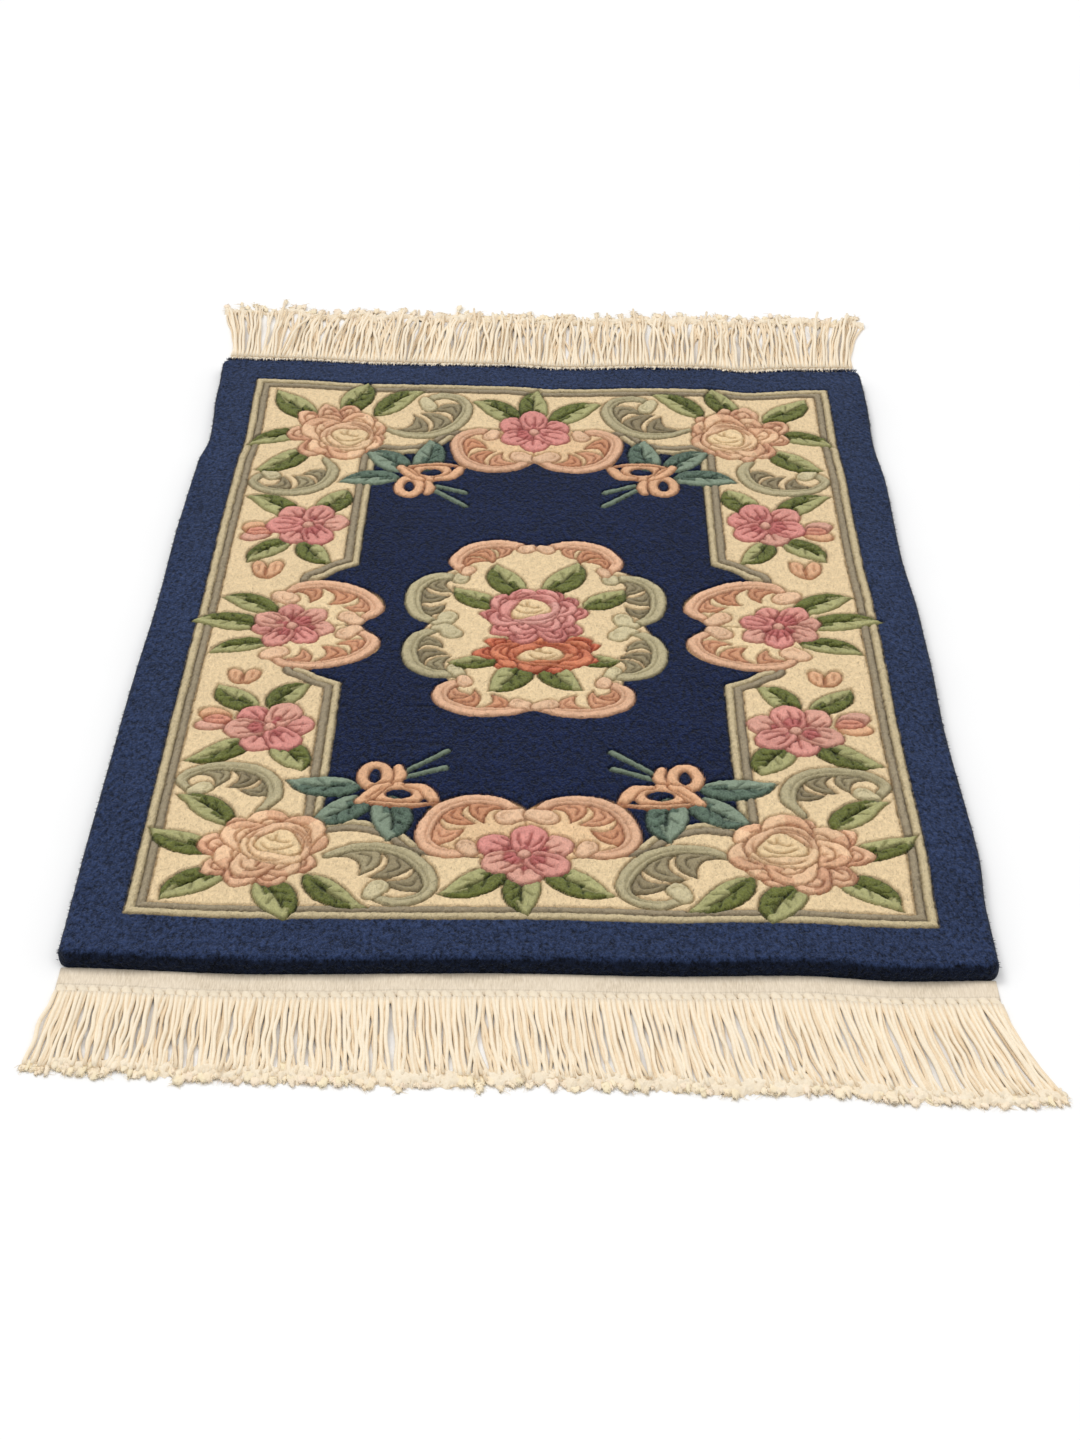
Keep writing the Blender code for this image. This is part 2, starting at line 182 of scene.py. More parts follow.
def bend(points, steps=5):
    """A smooth open curve through the points given."""
    points = np.asarray(points, float)
    padded = np.vstack([2 * points[0] - points[1], points, 2 * points[-1] - points[-2]])
    curve = []
    for k in range(1, len(padded) - 2):
        a, b, c, d = padded[k - 1:k + 3]
        for t in np.arange(steps) / steps:
            curve.append(0.5 * (2 * b + (c - a) * t + (2 * a - 5 * b + 4 * c - d) * t ** 2
                                + (3 * b - a - 3 * c + d) * t ** 3))
    curve.append(points[-1])
    return np.array(curve)


def unit(vector):
    """The vector at length 1."""
    return vector / max(np.hypot(*vector), 1e-9)


def quarter_turn(vector):
    return np.array([-vector[1], vector[0]])


def aim(angle):
    """Direction at an angle, and the one across it."""
    way = np.array([math.cos(angle), math.sin(angle)])
    return way, quarter_turn(way)


def alternate(number):
    """Every other petal of a ring first, so that the rest overlap them."""
    return [*range(0, number, 2), *range(1, number, 2)]


def to_segment(x, y, start, end):
    """Share of the way along a line nearest each place, distance from it, and side it lies on."""
    step = end - start
    size = max(float(step @ step), 1e-9)
    dx = x - start[0]
    dy = y - start[1]
    share = np.clip((dx * step[0] + dy * step[1]) / size, 0, 1)
    far = np.hypot(dx - share * step[0], dy - share * step[1])
    return share, far, np.sign(step[0] * dy - step[1] * dx)


def band_depth(x, y, spine, widths):
    """Depth inside a tapering band, share of the way along it, and signed step off its middle."""
    spine = np.asarray(spine, float)
    widths = np.interp(np.linspace(0, 1, len(spine)), np.linspace(0, 1, len(widths)), widths)
    depth = np.full(x.shape, -1e9)
    along = np.zeros(x.shape)
    off = np.zeros(x.shape)
    for k in range(len(spine) - 1):
        share, far, side = to_segment(x, y, spine[k], spine[k + 1])
        here = widths[k] + (widths[k + 1] - widths[k]) * share - far
        closer = here > depth
        depth = np.where(closer, here, depth)
        along = np.where(closer, (k + share) / (len(spine) - 1), along)
        off = np.where(closer, side * far, off)
    return depth, along, off


def loop_depth(x, y, corners):
    """Depth inside a closed outline, negative outside it."""
    corners = np.asarray(corners, float)
    near = np.full(x.shape, 1e9)
    within = np.zeros(x.shape, bool)
    for a, b in zip(corners, np.roll(corners, -1, 0)):
        near = np.minimum(near, to_segment(x, y, a, b)[1])
        if a[1] != b[1]:
            crosses = (y < a[1]) != (y < b[1])
            within ^= crosses & (x < a[0] + (y - a[1]) * (b[0] - a[0]) / (b[1] - a[1]))
    return np.where(within, near, -near)


# ---------------------------------------------------------------- pile: grid of the rug
def grid_lines(half):
    """Distances along the cloth of the grid lines, measured inward from both rims."""
    rim = np.concatenate([[0.0], np.cumsum(np.hypot(*np.diff(np.array(SIDE_ROWS), axis=0).T))])
    start = rim[-1]
    left = rim[:-1]
    count = int(math.ceil((2 * (half - SIDE_ROWS[-1][0])) / GRID))
    count += -(count + 2 * len(left)) % BLOCK
    inner = np.linspace(-half + SIDE_ROWS[-1][0], half - SIDE_ROWS[-1][0], count + 1)
    across = np.minimum(inner + half, half - inner) - SIDE_ROWS[-1][0] + start
    lines = np.concatenate([left, across, left[::-1]])
    signs = np.concatenate([-np.ones(len(left)), np.sign(inner), np.ones(len(left))])
    return lines, signs, rim


def cloth_grid():
    """Flat places and side heights of the pile's grid, with round corners."""
    qx, sx, rim = grid_lines(HALF_WIDTH)
    qy, sy, _ = grid_lines(HALF_LENGTH)
    inward = np.array([row[0] for row in SIDE_ROWS])
    height = np.array([row[1] for row in SIDE_ROWS])
    reach = rim[-1] + CORNER_RADIUS - SIDE_ROWS[-1][0]

    def place(q):
        return np.where(q < rim[-1], np.interp(q, rim, inward), q - rim[-1] + inward[-1])

    qa, qb = np.meshgrid(qx, qy, indexing="ij")
    sa, sb = np.meshgrid(sx, sy, indexing="ij")
    x = HALF_WIDTH - place(qa)
    y = HALF_LENGTH - place(qb)
    q = np.minimum(qa, qb)
    corner = (qa < reach) & (qb < reach)
    a = np.clip((reach - qa) / reach, 0, 1)
    b = np.clip((reach - qb) / reach, 0, 1)
    ra = a * np.sqrt(1 - b * b / 2)
    rb = b * np.sqrt(1 - a * a / 2)
    rho = np.maximum(np.hypot(ra, rb), 1e-6)
    q = np.where(corner, reach * (1 - rho), q)
    out = CORNER_RADIUS - place(q)
    x = np.where(corner, HALF_WIDTH - CORNER_RADIUS + out * ra / rho, x)
    y = np.where(corner, HALF_LENGTH - CORNER_RADIUS + out * rb / rho, y)
    z = np.interp(q, rim, height)
    x, y = wander(x * sa, y * sb)
    return x, y, z, q


# ---------------------------------------------------------------- pile: carved pattern
class Carpet:
    """Heights and colours of the pile, painted motif over motif as a carver leaves them."""

    def __init__(self, x, y):
        self.shape = x.shape
        self.x = x.ravel()
        self.y = y.ravel()
        self.u, self.v = to_pattern(self.x, self.y)
        self.high = np.zeros(self.x.size)
        # How much painted shade darkens each place, most in the cuts
        self.groove_shade = np.zeros(self.x.size)
        self.waver = 0.4 * speckle(self.x, self.y, 2.7, 2) + 0.35 * speckle(self.x, self.y, 9.0, 3)
        # Ground colour everywhere first: the border's navy with its painted sheen
        self.colour = np.tile(NAVY_WITH_BORDER_SHEEN, (self.x.size, 1))
        self.rng = np.random.default_rng(SEED)
        self.on_rug = False

    def places(self):
        return (self.x, self.y) if self.on_rug else (self.u, self.v)

    def window(self, points, margin):
        a, b = self.places()
        points = np.asarray(points, float)
        low = np.min(points, 0) - margin
        high = np.max(points, 0) + margin
        near = np.flatnonzero((a > low[0]) & (a < high[0]) & (b > low[1]) & (b < high[1]))
        return near, a[near], b[near]

    def lay(self, near, depth, colour, crown=CROWN, cut=CUT, level=0.3, zone=None):
        """Put a motif on the pile with a cut all round it and a rounded top.

        `zone` is a second colour and how far each place lies inside its own carved patch.
        """
        depth = depth + self.waver[near]
        inside = depth > 0
        dip = np.exp(-(depth / np.where(inside, 1.05, 0.85)) ** 2)
        top = level + crown * (1 - np.exp(-np.maximum(depth, 0) / 3.0)) - cut * dip
        ground = np.maximum(self.high[near] - cut * dip, np.minimum(self.high[near], -cut))
        # Painted shade: full in the cut round the motif, kept from earlier cuts just outside it
        mark = np.where(inside, dip, np.maximum(self.groove_shade[near], dip * 0.9))
        shade = 1 + self.rng.uniform(-0.05, 0.05)
        paint = np.broadcast_to(colour, (len(near), 3)) * shade
        if zone is not None:
            other, value = zone
            mix = np.clip(0.5 + value / 1.5, 0, 1)[:, None]
            paint = paint * (1 - mix) + other * mix * shade
            # A cut line between the two patches, sunk and darkened with painted shade
            line = 0.75 * np.exp(-(value / 0.85) ** 2) * inside
            top = top - 1.3 * line
            mark = np.maximum(mark, line)
        self.high[near] = np.where(inside, top, ground)
        self.groove_shade[near] = mark
        soft = np.clip(depth / 0.9 + 0.5, 0, 1)[:, None]
        self.colour[near] = self.colour[near] * (1 - soft) + paint * soft

    def incise(self, points, deep=1.7, wide=0.95, dark=0.85):
        """Cut a narrow line along the points."""
        points = np.asarray(points, float)
        wide = wide * LINE_SPREAD
        near, a, b = self.window(points, 4 * wide)
        depth, along, _ = band_depth(a, b, points, [0.0])
        taper = np.clip(np.minimum(along, 1 - along) * 7, 0.2, 1)
        dip = np.exp(-(depth / wide) ** 2) * taper
        self.high[near] -= deep * dip
        # `dark` is how much painted shade darkens the cut line
        self.groove_shade[near] = np.maximum(self.groove_shade[near], dark * dip)

    def band(self, points, widths, colour, zone=None, crown=CROWN, cut=CUT):
        """A tapering curved band; `zone` is a second colour and its patch as a function."""
        points = np.asarray(points, float)
        near, a, b = self.window(points, max(widths) + 5)
        depth, along, off = band_depth(a, b, points, widths)
        if zone is not None:
            zone = (zone[0], zone[1](along, off, depth))
        self.lay(near, depth, colour, crown, cut, zone=zone)

    def oval(self, centre, radii, colour, turn=0.0, zone=None, crown=CROWN, cut=CUT, uneven=0.0):
        centre = np.asarray(centre, float)
        near, a, b = self.window(centre[None], max(radii) + 5)
        c, s = math.cos(turn), math.sin(turn)
        p = (a - centre[0]) * c + (b - centre[1]) * s
        q = (b - centre[1]) * c - (a - centre[0]) * s
        rho = np.hypot(p / radii[0], q / radii[1])
        if uneven:
            rho *= 1 + uneven * np.sin(3 * np.arctan2(q, p) + self.rng.uniform(0, 6.28))
        if zone is not None:
            zone = (zone[0], zone[1](p, q))
        self.lay(near, (1 - rho) * min(radii), colour, crown, cut, zone=zone)

    # ------------------------------------------------------------ motifs
    def leaf(self, base, tip, width, light=LEAF, dark=OLIVE, flip=1):
        """A pointed leaf, dark from its base along the rib with a jagged edge."""
        base, tip = np.asarray((base, tip), float)
        run = tip - base
        cross = quarter_turn(run)
        spine = bend([base, base + run * 0.33 + cross * 0.05 * flip,
                      base + run * 0.68 + cross * 0.06 * flip, tip - cross * 0.03 * flip], 5)
        half = width / 2 * self.rng.uniform(0.96, 1.1)
        widths = [half * k for k in (0.30, 0.74, 0.97, 1.0, 0.88, 0.62, 0.30, 0.0)]
        teeth = self.rng.uniform(2.6, 3.6)

        def jagged(along, off, depth):
            edge = 0.95 * (along - 0.30) - 0.42 * ((along * teeth) % 1)
            return (off * flip - half * edge) * 0.8

        self.band(spine, widths, light, (dark, jagged))
        self.incise(spine[1:-3], 2.0, 1.0, 1.0)
        for place, side in ((0.28, 1), (0.5, 1), (0.4, -1)):
            start = base + run * place + cross * 0.05 * flip
            end = start + run * 0.17 + cross / np.hypot(*run) * half * 0.6 * side * flip
            self.incise([start, end], 1.3, 0.85, 0.7)

    def leaves(self, at, rows, **how):
        """Leaves placed by `at`, each a base, a tip and a width."""
        for base, tip, width in rows:
            self.leaf(at(base), at(tip), width, **how)

    def flower(self, centre, radii, petals, deep, fair, turn=0.0, heart=BLUSH):
        """An open flower with overlapping petals, each cut by strokes from its heart."""
        centre, radii = np.asarray((centre, radii), float)
        deep = deep * 0.6 + fair * 0.4
        for k in alternate(petals):
            way, cross = aim(turn + 2 * math.pi * k / petals + self.rng.uniform(-0.14, 0.14))
            size = self.rng.uniform(0.92, 1.1)
            half = math.pi * 0.62 * radii.min() / petals * 1.16
            points = [centre + way * radii * r * size for r in (0.08, 0.36, 0.62, 0.78)]
            pale = self.rng.choice([0.0, 0.25, 0.75])
            edge = fair * (1 - pale) + BLUSH * pale
            lobe = self.rng.uniform(0.35, 0.6)
            self.band(points, [half * 0.35, half * 0.95, half * 1.12, half * 0.72], edge,
                      (deep, lambda along, off, depth: (lobe - along) * 14 - np.abs(off) * 0.4))
            for side in (-0.6, -0.1, 0.5):
                stroke = ((0.2, side * 0.4), (0.5, side * 1.2), (0.86 - 0.2 * abs(side), side * 1.3))
                self.incise([centre + way * radii * far + cross * half * aside for far, aside in stroke],
                            1.7, 0.9, 0.95)
        self.oval(centre, (radii.min() * 0.16,) * 2, heart, crown=1.0, cut=2.0)

    def rose(self, centre, radii, heart, edge, deep, pale, core, turn=0.0, count=9):
        """A full rose: two rings of pointed folded petals, a cup and a pale heart."""
        centre, radii, heart = np.asarray((centre, radii, heart), float)
        mean = radii.mean()
        rings = ((count, 0.98, 1.0, edge, 0.0), (count - 2, 0.76, 1.02, edge * 0.5 + pale * 0.5, 0.5))
        for ring, (number, reach, broad, tone, shift) in enumerate(rings):
            hub = centre + (heart - centre) * ring * 0.6
            for k in alternate(number):
                way, cross = aim(turn + 2 * math.pi * (k + shift) / number + self.rng.uniform(-0.2, 0.2))
                half = math.pi * mean * 0.66 / number * broad * self.rng.uniform(0.9, 1.2)
                size = reach * self.rng.uniform(0.93, 1.05)
                swing = cross * half * self.rng.uniform(-0.4, 0.4)

                def spot(far, aside=0.0, swung=0.0):
                    return hub + way * radii * far * size + cross * half * aside + swing * swung

                last = self.rng.choice([0.08, 0.2, 0.45])
                tint = tone * (1 + self.rng.uniform(-0.05, 0.07))
                lobe = self.rng.uniform(0.3, 0.55)
                side = self.rng.choice([-1, 1])
                self.band(bend([spot(far, swung=far) for far in (0.2, 0.5, 0.74, 0.95)], 3),
                          [half * 0.7, half * 1.15, half * 1.05, half * last], tint,
                          (deep * 0.3 + tint * 0.7,
                           lambda along, off, depth: (lobe - along) * 16 + off * side * 0.7))
                fold = [spot(far, aside * side, far)
                        for far, aside in ((0.58, -0.75), (0.83, -0.3), (0.84, 0.35), (0.64, 0.85))]
                self.incise(bend(fold, 4), 1.9, 0.9, 1.0)
                for aside, far in ((0.1 * side, 0.78), (-0.5 * side, 0.6)):
                    stroke = (spot(0.34, aside * 0.5), spot((0.34 + far) / 2, aside * 1.2),
                              spot(far, aside * 0.9))
                    self.incise(bend(stroke, 3), 1.8, 0.95, 1.0)
        cup = centre + (heart - centre) * 0.9
        inner = edge * 0.7 + pale * 0.3
        self.oval(cup, radii * 0.54, pale, turn,
                  (inner, lambda p, q: q - 0.12 * mean + 0.02 * p * p), uneven=0.07)
        for radius, start, end in ((0.45, 2.6, 5.6), (0.40, 5.9, 8.1), (0.46, 0.2, 1.7)):
            arc = [cup + radii * radius * aim(t)[0] for t in np.linspace(start, end, 9) + turn]
            self.incise(arc, 1.8, 0.95, 0.95)
        self.oval(heart, radii * (0.36, 0.31), core, turn, cut=2.3, uneven=0.14)
        strokes = (((-0.30, 0.02), (-0.16, -0.16), (0.06, -0.17), (0.27, -0.04)),
                   ((-0.05, 0.24), (-0.06, 0.08), (0.06, 0.0), (0.20, 0.03)),
                   ((-0.22, 0.16), (-0.12, 0.05), (-0.06, 0.08)))
        for stroke in strokes:
            self.incise(bend(heart + np.array(stroke) * mean, 4), 1.7, 0.95, 0.9)

    def tooth(self, first, last, inward, length, hook, colour):
        """One acanthus tooth: a broad root on the rim and a tip hooked back like a breaking wave."""
        run = unit(last - first)

        def spot(share, deep, ahead=0.0):
            return first * (1 - share) + last * share + inward * length * deep + run * hook * ahead

        tip = spot(0.6, 1.0, -0.25)
        outline = []
        for start, control, end in ((first, spot(0.7, 0.1), tip), (tip, spot(1.0, 0.75, 0.3), last)):
            for t in np.arange(7) / 7:
                outline.append(start * (1 - t) ** 2 + control * 2 * t * (1 - t) + end * t * t)
        outline.extend([last, last - inward * 3, first - inward * 3])
        near, a, b = self.window(outline, 5)
        self.lay(near, loop_depth(a, b, outline), colour, 0.4, CUT, 0.0)
        self.incise(bend([spot(0.45, 0), spot(0.8, 0.25), spot(0.7, 0.72, -0.1)], 4), 1.6, 0.8, 0.8)

    def scroll(self, at, spine, widths, hub, teeth, balls, colours):
        """A C scroll placed by `at`: a rim, hooked teeth inside it and volutes at its ends.

        `teeth` are their first and last place along the rim, number, length and hook.
        """
        rim, comb, ball = colours
        spine = bend(at(*spine), 6)
        ways = np.gradient(spine, axis=0)
        ways /= np.maximum(np.hypot(*ways.T), 1e-9)[:, None]
        inward = np.stack([-ways[:, 1], ways[:, 0]], 1)
        inward *= np.sign(((np.asarray(at(hub), float) - spine) * inward).sum(1))[:, None]
        width = np.interp(np.linspace(0, 1, len(spine)), np.linspace(0, 1, len(widths)), widths)[:, None]
        inner = spine + inward * width * 0.8
        first, last, number, length, hook = teeth
        marks = (np.linspace(first, last, number + 1) * (len(spine) - 1)).astype(int)
        for k, (i, j) in enumerate(zip(marks, marks[1:])):
            size = 0.85 + 0.3 * math.sin(math.pi * (k + 0.6) / number)
            share = self.rng.uniform(0.5, 0.9)
            self.tooth(inner[i], inner[j], inward[(i + 2 * j) // 3], length * size, hook * size,
                       comb * share + rim * (1 - share))
        self.band(spine, widths, rim)
        self.incise((spine + inward * width * 0.3)[3:-3], 1.2, 0.8, 0.5)
        for *centre, radius in balls:
            centre = np.asarray(at(centre), float)
            rim_end = min((spine[0], spine[-1]), key=lambda place: np.hypot(*(place - centre)))
            centre = centre * 0.78 + rim_end * 0.22
            radius *= 0.8
            reach = centre - rim_end
            aside = (centre - spine.mean(0)) * 0.12
            self.band(bend([rim_end - reach * 0.15, rim_end + reach * 0.4 + aside, centre,
                            centre + reach * 0.12], 4),
                      [3.6, radius * 0.72, radius * 0.92, radius * 0.86], ball, cut=2.0)
            turns = math.atan2(-reach[1], -reach[0]) + np.linspace(0.6, 4.2, 9)
            curl = [centre + radius * np.array((0.45, 0.42)) * aim(t)[0] for t in turns]
            self.incise(curl, 1.0, 0.8, 0.4)

    def filled(self, outline, colour, level=0.0):
        near, a, b = self.window(outline, 7)
        self.lay(near, loop_depth(a, b, outline), colour, 0.1, 1.6, level)


ORANGE_SCROLL = (PEACH, APRICOT, srgb(236, 196, 160))
GREY_SCROLL = (SAGE, MOSS, srgb(214, 200, 160))


def paint(carpet):
    """The whole pattern, ground first."""
    u, v = carpet.u, carpet.v
    everything = np.arange(u.size)
    guard = np.minimum(GUARD[0] - np.abs(u), GUARD[1] - np.abs(v))
    quarter = [(180, 67), (172, 71), (163, 79), (146, 88), (146, 268), (140, 272), (124, 269),
               (108, 272), (90, 280), (78, 296), (40, 300)]
    field = quarter + [(-a, b) for a, b in reversed(quarter)]
    field = field + [(-a, -b) for a, b in quarter] + [(a, -b) for a, b in reversed(quarter)]
    field = loop_depth(u, v, field)
    for depth, *look in ((guard, BEIGE, 0.5, 1.9), (guard - 6.8, TAUPE, 0.5, 2.0),
                         (guard - 13.3, IVORY, 0.0, 2.0, 0.0), (field + 13.2, TAUPE, 0.5, 1.9),
                         (field + 6.4, BEIGE, 0.5, 2.0), (field, NAVY, 0.0, 2.2, 0.0)):
        carpet.lay(everything, depth, *look)
    for sx in (-1, 1):
        for sy in (-1, 1):
            paint_quarter(carpet, sx, sy)
    for sx in (-1, 1):
        paint_side(carpet, sx)
    for sy in (-1, 1):
        paint_end(carpet, sy)
    carpet.on_rug = True
    paint_middle(carpet)
    carpet.on_rug = False


def mirrored(sx, sy):
    """Puts points drawn in one quarter where they belong."""
    def at(*points):
        placed = [(sx * a, sy * b) for a, b in points]
        return placed[0] if len(placed) == 1 else placed
    return at


def paint_quarter(carpet, sx, sy):
    """Corner rose, grey scrolls, bow and side flower of one quarter."""
    at = mirrored(sx, sy)
    turn = sx * sy
    carpet.scroll(at, ((139, 312), (121, 303), (101, 302), (83, 310), (70, 327), (65, 346), (72, 360),
                       (89, 365), (106, 358)), [3, 5, 5.5, 6, 6, 5.5, 5, 5, 3.5], (100, 335),
                  (0.03, 0.70, 3, 25, 12), ((100, 346, 11),), GREY_SCROLL)
    carpet.scroll(at, ((240, 238), (251, 222), (240, 208), (221, 203), (202, 206), (187, 219),
                       (182, 240), (191, 259)), [3.5, 4.5, 5, 5.5, 6, 6, 6, 3], (214, 236),
                  (0.24, 0.88, 3, 19, 10), ((233, 229, 10),), GREY_SCROLL)
    carpet.leaves(at, (((124, 228), (177, 221), 25), ((117, 243), (155, 273), 27),
                       ((101, 243), (97, 295), 28)), light=TEAL, dark=PINE, flip=turn)
    for start, end in (((94, 212), (60, 181)), ((94, 217), (61, 203))):
        carpet.band(at(start, end), [2.6, 3.0], TEAL * 0.85, cut=2.0)
    bow(carpet, at)
    leaves = (((211, 272), (251, 239), 24), ((218, 305), (267, 282), 23), ((210, 332), (249, 366), 26),
              ((180, 344), (161, 385), 27), ((150, 337), (107, 374), 24))
    for k, (base, tip, width) in enumerate(leaves):
        carpet.leaf(at(base), at(tip), width, flip=turn * (1 if k % 2 else -1))
    carpet.rose(at((186, 306)), (47, 46), at((173, 298)), srgb(234, 188, 152), RUST * 1.15,
                srgb(244, 208, 166), CREAM, 0.3 * sx + 0.2 * sy)
    carpet.leaves(at, (((208, 167), (253, 198), 24), ((186, 174), (165, 208), 27),
                       ((210, 123), (241, 92), 23), ((196, 121), (170, 89), 24)), flip=turn)
    bud(carpet, at((240, 140)), at((262, 139)), 13)
    carpet.flower(at((195, 150)), (34, 32), 6, ROSE, PINK, 0.35 * sx + 0.4)
    a, b = at((222, 80))
    for side in (-1, 1):
        carpet.oval((a + 5.5 * side, b + 2), (6.5, 12), BOW, -0.35 * side, crown=0.6, cut=2.2)
        carpet.incise([(a + 6 * side, b - 3), (a + 7 * side, b + 7)], 1.3, 0.9, 0.6)
    carpet.incise([(a, b - 7), (a, b + 10)], 1.8, 1.0, 0.9)


def bow(carpet, at):
    """Ribbon bow: one upright ring, one lying ring, a tail and a fold."""
    turn = np.linspace(0.0, 2 * math.pi, 25)
    upright = [(111.5 + 9.2 * math.cos(t), 213.5 + 13.8 * math.sin(t)) for t in turn]
    lying = [(93 + 14.5 * math.cos(t), 237 + 10.8 * math.sin(t)) for t in turn]
    fold = RUST * 0.5 + BOW * 0.5
    carpet.band(bend(at((104, 230), (97, 222), (93, 212), (95, 203)), 5), [3, 4.5, 5, 4], BOW)
    carpet.band(at(*lying), [4.6], BOW)
    carpet.band(bend(at((88, 226), (76, 229), (70, 238), (66, 247)), 5), [2.5, 5, 5.5, 3.5], BOW)
    carpet.band(bend(at((114, 247), (98, 250), (82, 250.5), (63, 247)), 5), [2.6, 3.0, 3.2, 1.4], BOW,
                (fold, lambda along, off, depth: 1.2 - depth))
    carpet.band(at(*upright), [4.6], BOW)
    carpet.band(bend(at((121, 246), (114, 238), (108, 230), (101, 225)), 5), [4, 6, 5, 3], BOW)
    carpet.incise(bend(at((118, 246), (110, 236), (103, 228)), 4), 1.5, 1.0, 0.8)


def bud(carpet, centre, tip, radius):
    """A closed bud with two petals and its sheath."""
    centre, tip = np.asarray((centre, tip), float)
    way = unit(tip - centre)
    cross = quarter_turn(way)
    lean = math.atan2(way[1], way[0])
    carpet.oval(centre - way * 2 + cross * radius * 0.5, (radius, radius * 0.66), BLUSH, lean + 0.25)
    carpet.oval(centre - way * 2 - cross * radius * 0.5, (radius, radius * 0.66), BOW, lean - 0.25)
    carpet.oval(centre - way * 5, (radius * 0.85, radius * 0.5), CORAL * 0.45 + BLUSH * 0.55, lean)
    carpet.incise([centre - way * 12, centre + way * 3], 1.3, 0.9, 0.8)


def paint_side(carpet, sx):
    """Half medallion in the middle of a long side."""
    at = mirrored(sx, 1)
    for sy in (-1, 1):
        here = mirrored(sx, sy)
        outline = here(*bend([(209, 40), (192, 63), (165, 67), (130, 51), (120, 24), (140, 3), (180, -4),
                              (209, 0)], 4))
        carpet.filled(outline, IVORY)
        carpet.scroll(here, ((204, 49), (191, 60), (165, 61.5), (137, 48), (126, 25), (139, 8)),
                      [3, 5, 5.5, 6, 6, 4], (165, 25), (0.08, 0.84, 3, 19, 10),
                      ((199, 40, 12.5), (151, 14, 11.5)), ORANGE_SCROLL)
    carpet.leaves(at, (((210, 22), (254, 46), 25), ((218, 0), (275, 7), 25),
                       ((210, -26), (255, -43), 21)), flip=sx)
    carpet.flower(at((193, -1)), (34, 32), 7, ROSE, PINK, 0.2 * sx)


def paint_end(carpet, sy):
    """Twin C scrolls with a flower in the middle of a short side."""
    for sx in (-1, 1):
        here = mirrored(sx, sy)
        outline = here(*bend([(-1, 256), (15, 242), (35, 237), (55, 241), (71, 256), (79, 288),
                              (72, 305), (56, 314), (36, 312), (0, 325)], 4))
        carpet.filled(outline, srgb(236, 200, 156))
    for sx in (-1, 1):
        here = mirrored(sx, sy)
        carpet.scroll(here, ((5, 260), (17, 247), (35, 242.5), (52, 247), (66, 261), (73, 286),
                             (67, 302), (51, 309), (38, 305)), [4, 5, 5.5, 6, 6, 6, 6, 5, 3], (38, 282),
                      (0.08, 0.74, 3, 20, 12), ((16, 266, 12), (43, 299, 10.5)), ORANGE_SCROLL)
    for side in (-1, 1):
        carpet.leaf((side * 16, sy * 327), (side * 60, sy * 358), 27, flip=side * sy)
    carpet.leaf((0, sy * 330), (1, sy * 381), 27, flip=sy)
    carpet.flower((-1, sy * 309), (34, 32), 6, ROSE, PINK, 0.5)


def paint_middle(carpet):
    """Central medallion, placed on the rug itself."""
    ring = bend([(0, 98), (-28, 108), (-60, 92), (-66, 62), (-92, 42), (-99, 8), (-84, -24), (-98, -56),
                 (-90, -96), (-66, -110), (-70, -140), (-40, -157), (0, -150), (42, -157), (72, -138),
                 (68, -108), (92, -94), (99, -56), (86, -22), (100, 8), (92, 46), (68, 62), (60, 94),
                 (30, 110), (0, 98)], 3)
    carpet.filled(ring, IVORY)
    for sx in (-1, 1):
        here = mirrored(sx, 1)
        for scroll in (
                (((64, 49), (84, 46), (97, 30), (99, 6), (93, -14), (79, -25)), [5, 6, 6.5, 6.5, 6, 4],
                 (66, 12), (0.06, 0.88, 3, 20, 9), ((61, 43, 9.5), (68, -15, 11.5)), GREY_SCROLL),
                (((60, -103), (78, -102), (93, -90), (98, -68), (93, -48), (78, -36)),
                 [5, 6, 6.5, 6.5, 6, 4],
                 (66, -68), (0.06, 0.88, 3, 20, 9), ((62, -94, 9), (63, -43, 11.5)), GREY_SCROLL),
                (((57, 56), (67, 74), (54, 97), (30, 105), (8, 99)), [4, 6, 6.5, 6.5, 5],
                 (32, 74), (0.08, 0.90, 3, 19, 8), ((55, 61, 8), (9, 95, 9.5)), ORANGE_SCROLL),
                (((54, -112), (70, -124), (68, -143), (47, -155), (22, -155), (4, -149)),
                 [4, 6, 6.5, 6.5, 6, 4.5],
                 (34, -126), (0.08, 0.88, 3, 19, 8), ((53, -115, 9), (14, -143, 9.5)), ORANGE_SCROLL)):
            carpet.scroll(here, *scroll)
    for base, tip, width, flip in (((-14, 24), (-34, 70), 27, 1), ((10, 26), (37, 75), 27, -1),
                                   ((-32, 3), (-68, 30), 25, 1), ((42, 2), (73, 30), 23, -1),
                                   ((-26, -77), (-68, -87), 21, 1), ((34, -79), (68, -80), 19, -1),
                                   ((-9, -88), (-34, -128), 27, 1), ((8, -88), (37, -125), 27, -1)):
        carpet.leaf(base, tip, width, flip=flip)
    carpet.rose((4, -66), (52, 32), (7, -72), CORAL, BRICK, srgb(226, 150, 112), CREAM, 0.2, 10)
    carpet.rose((0, -14), (47, 43), (-4, -2), PINK, ROSE, srgb(226, 168, 156), CREAM, 0.7, 10)


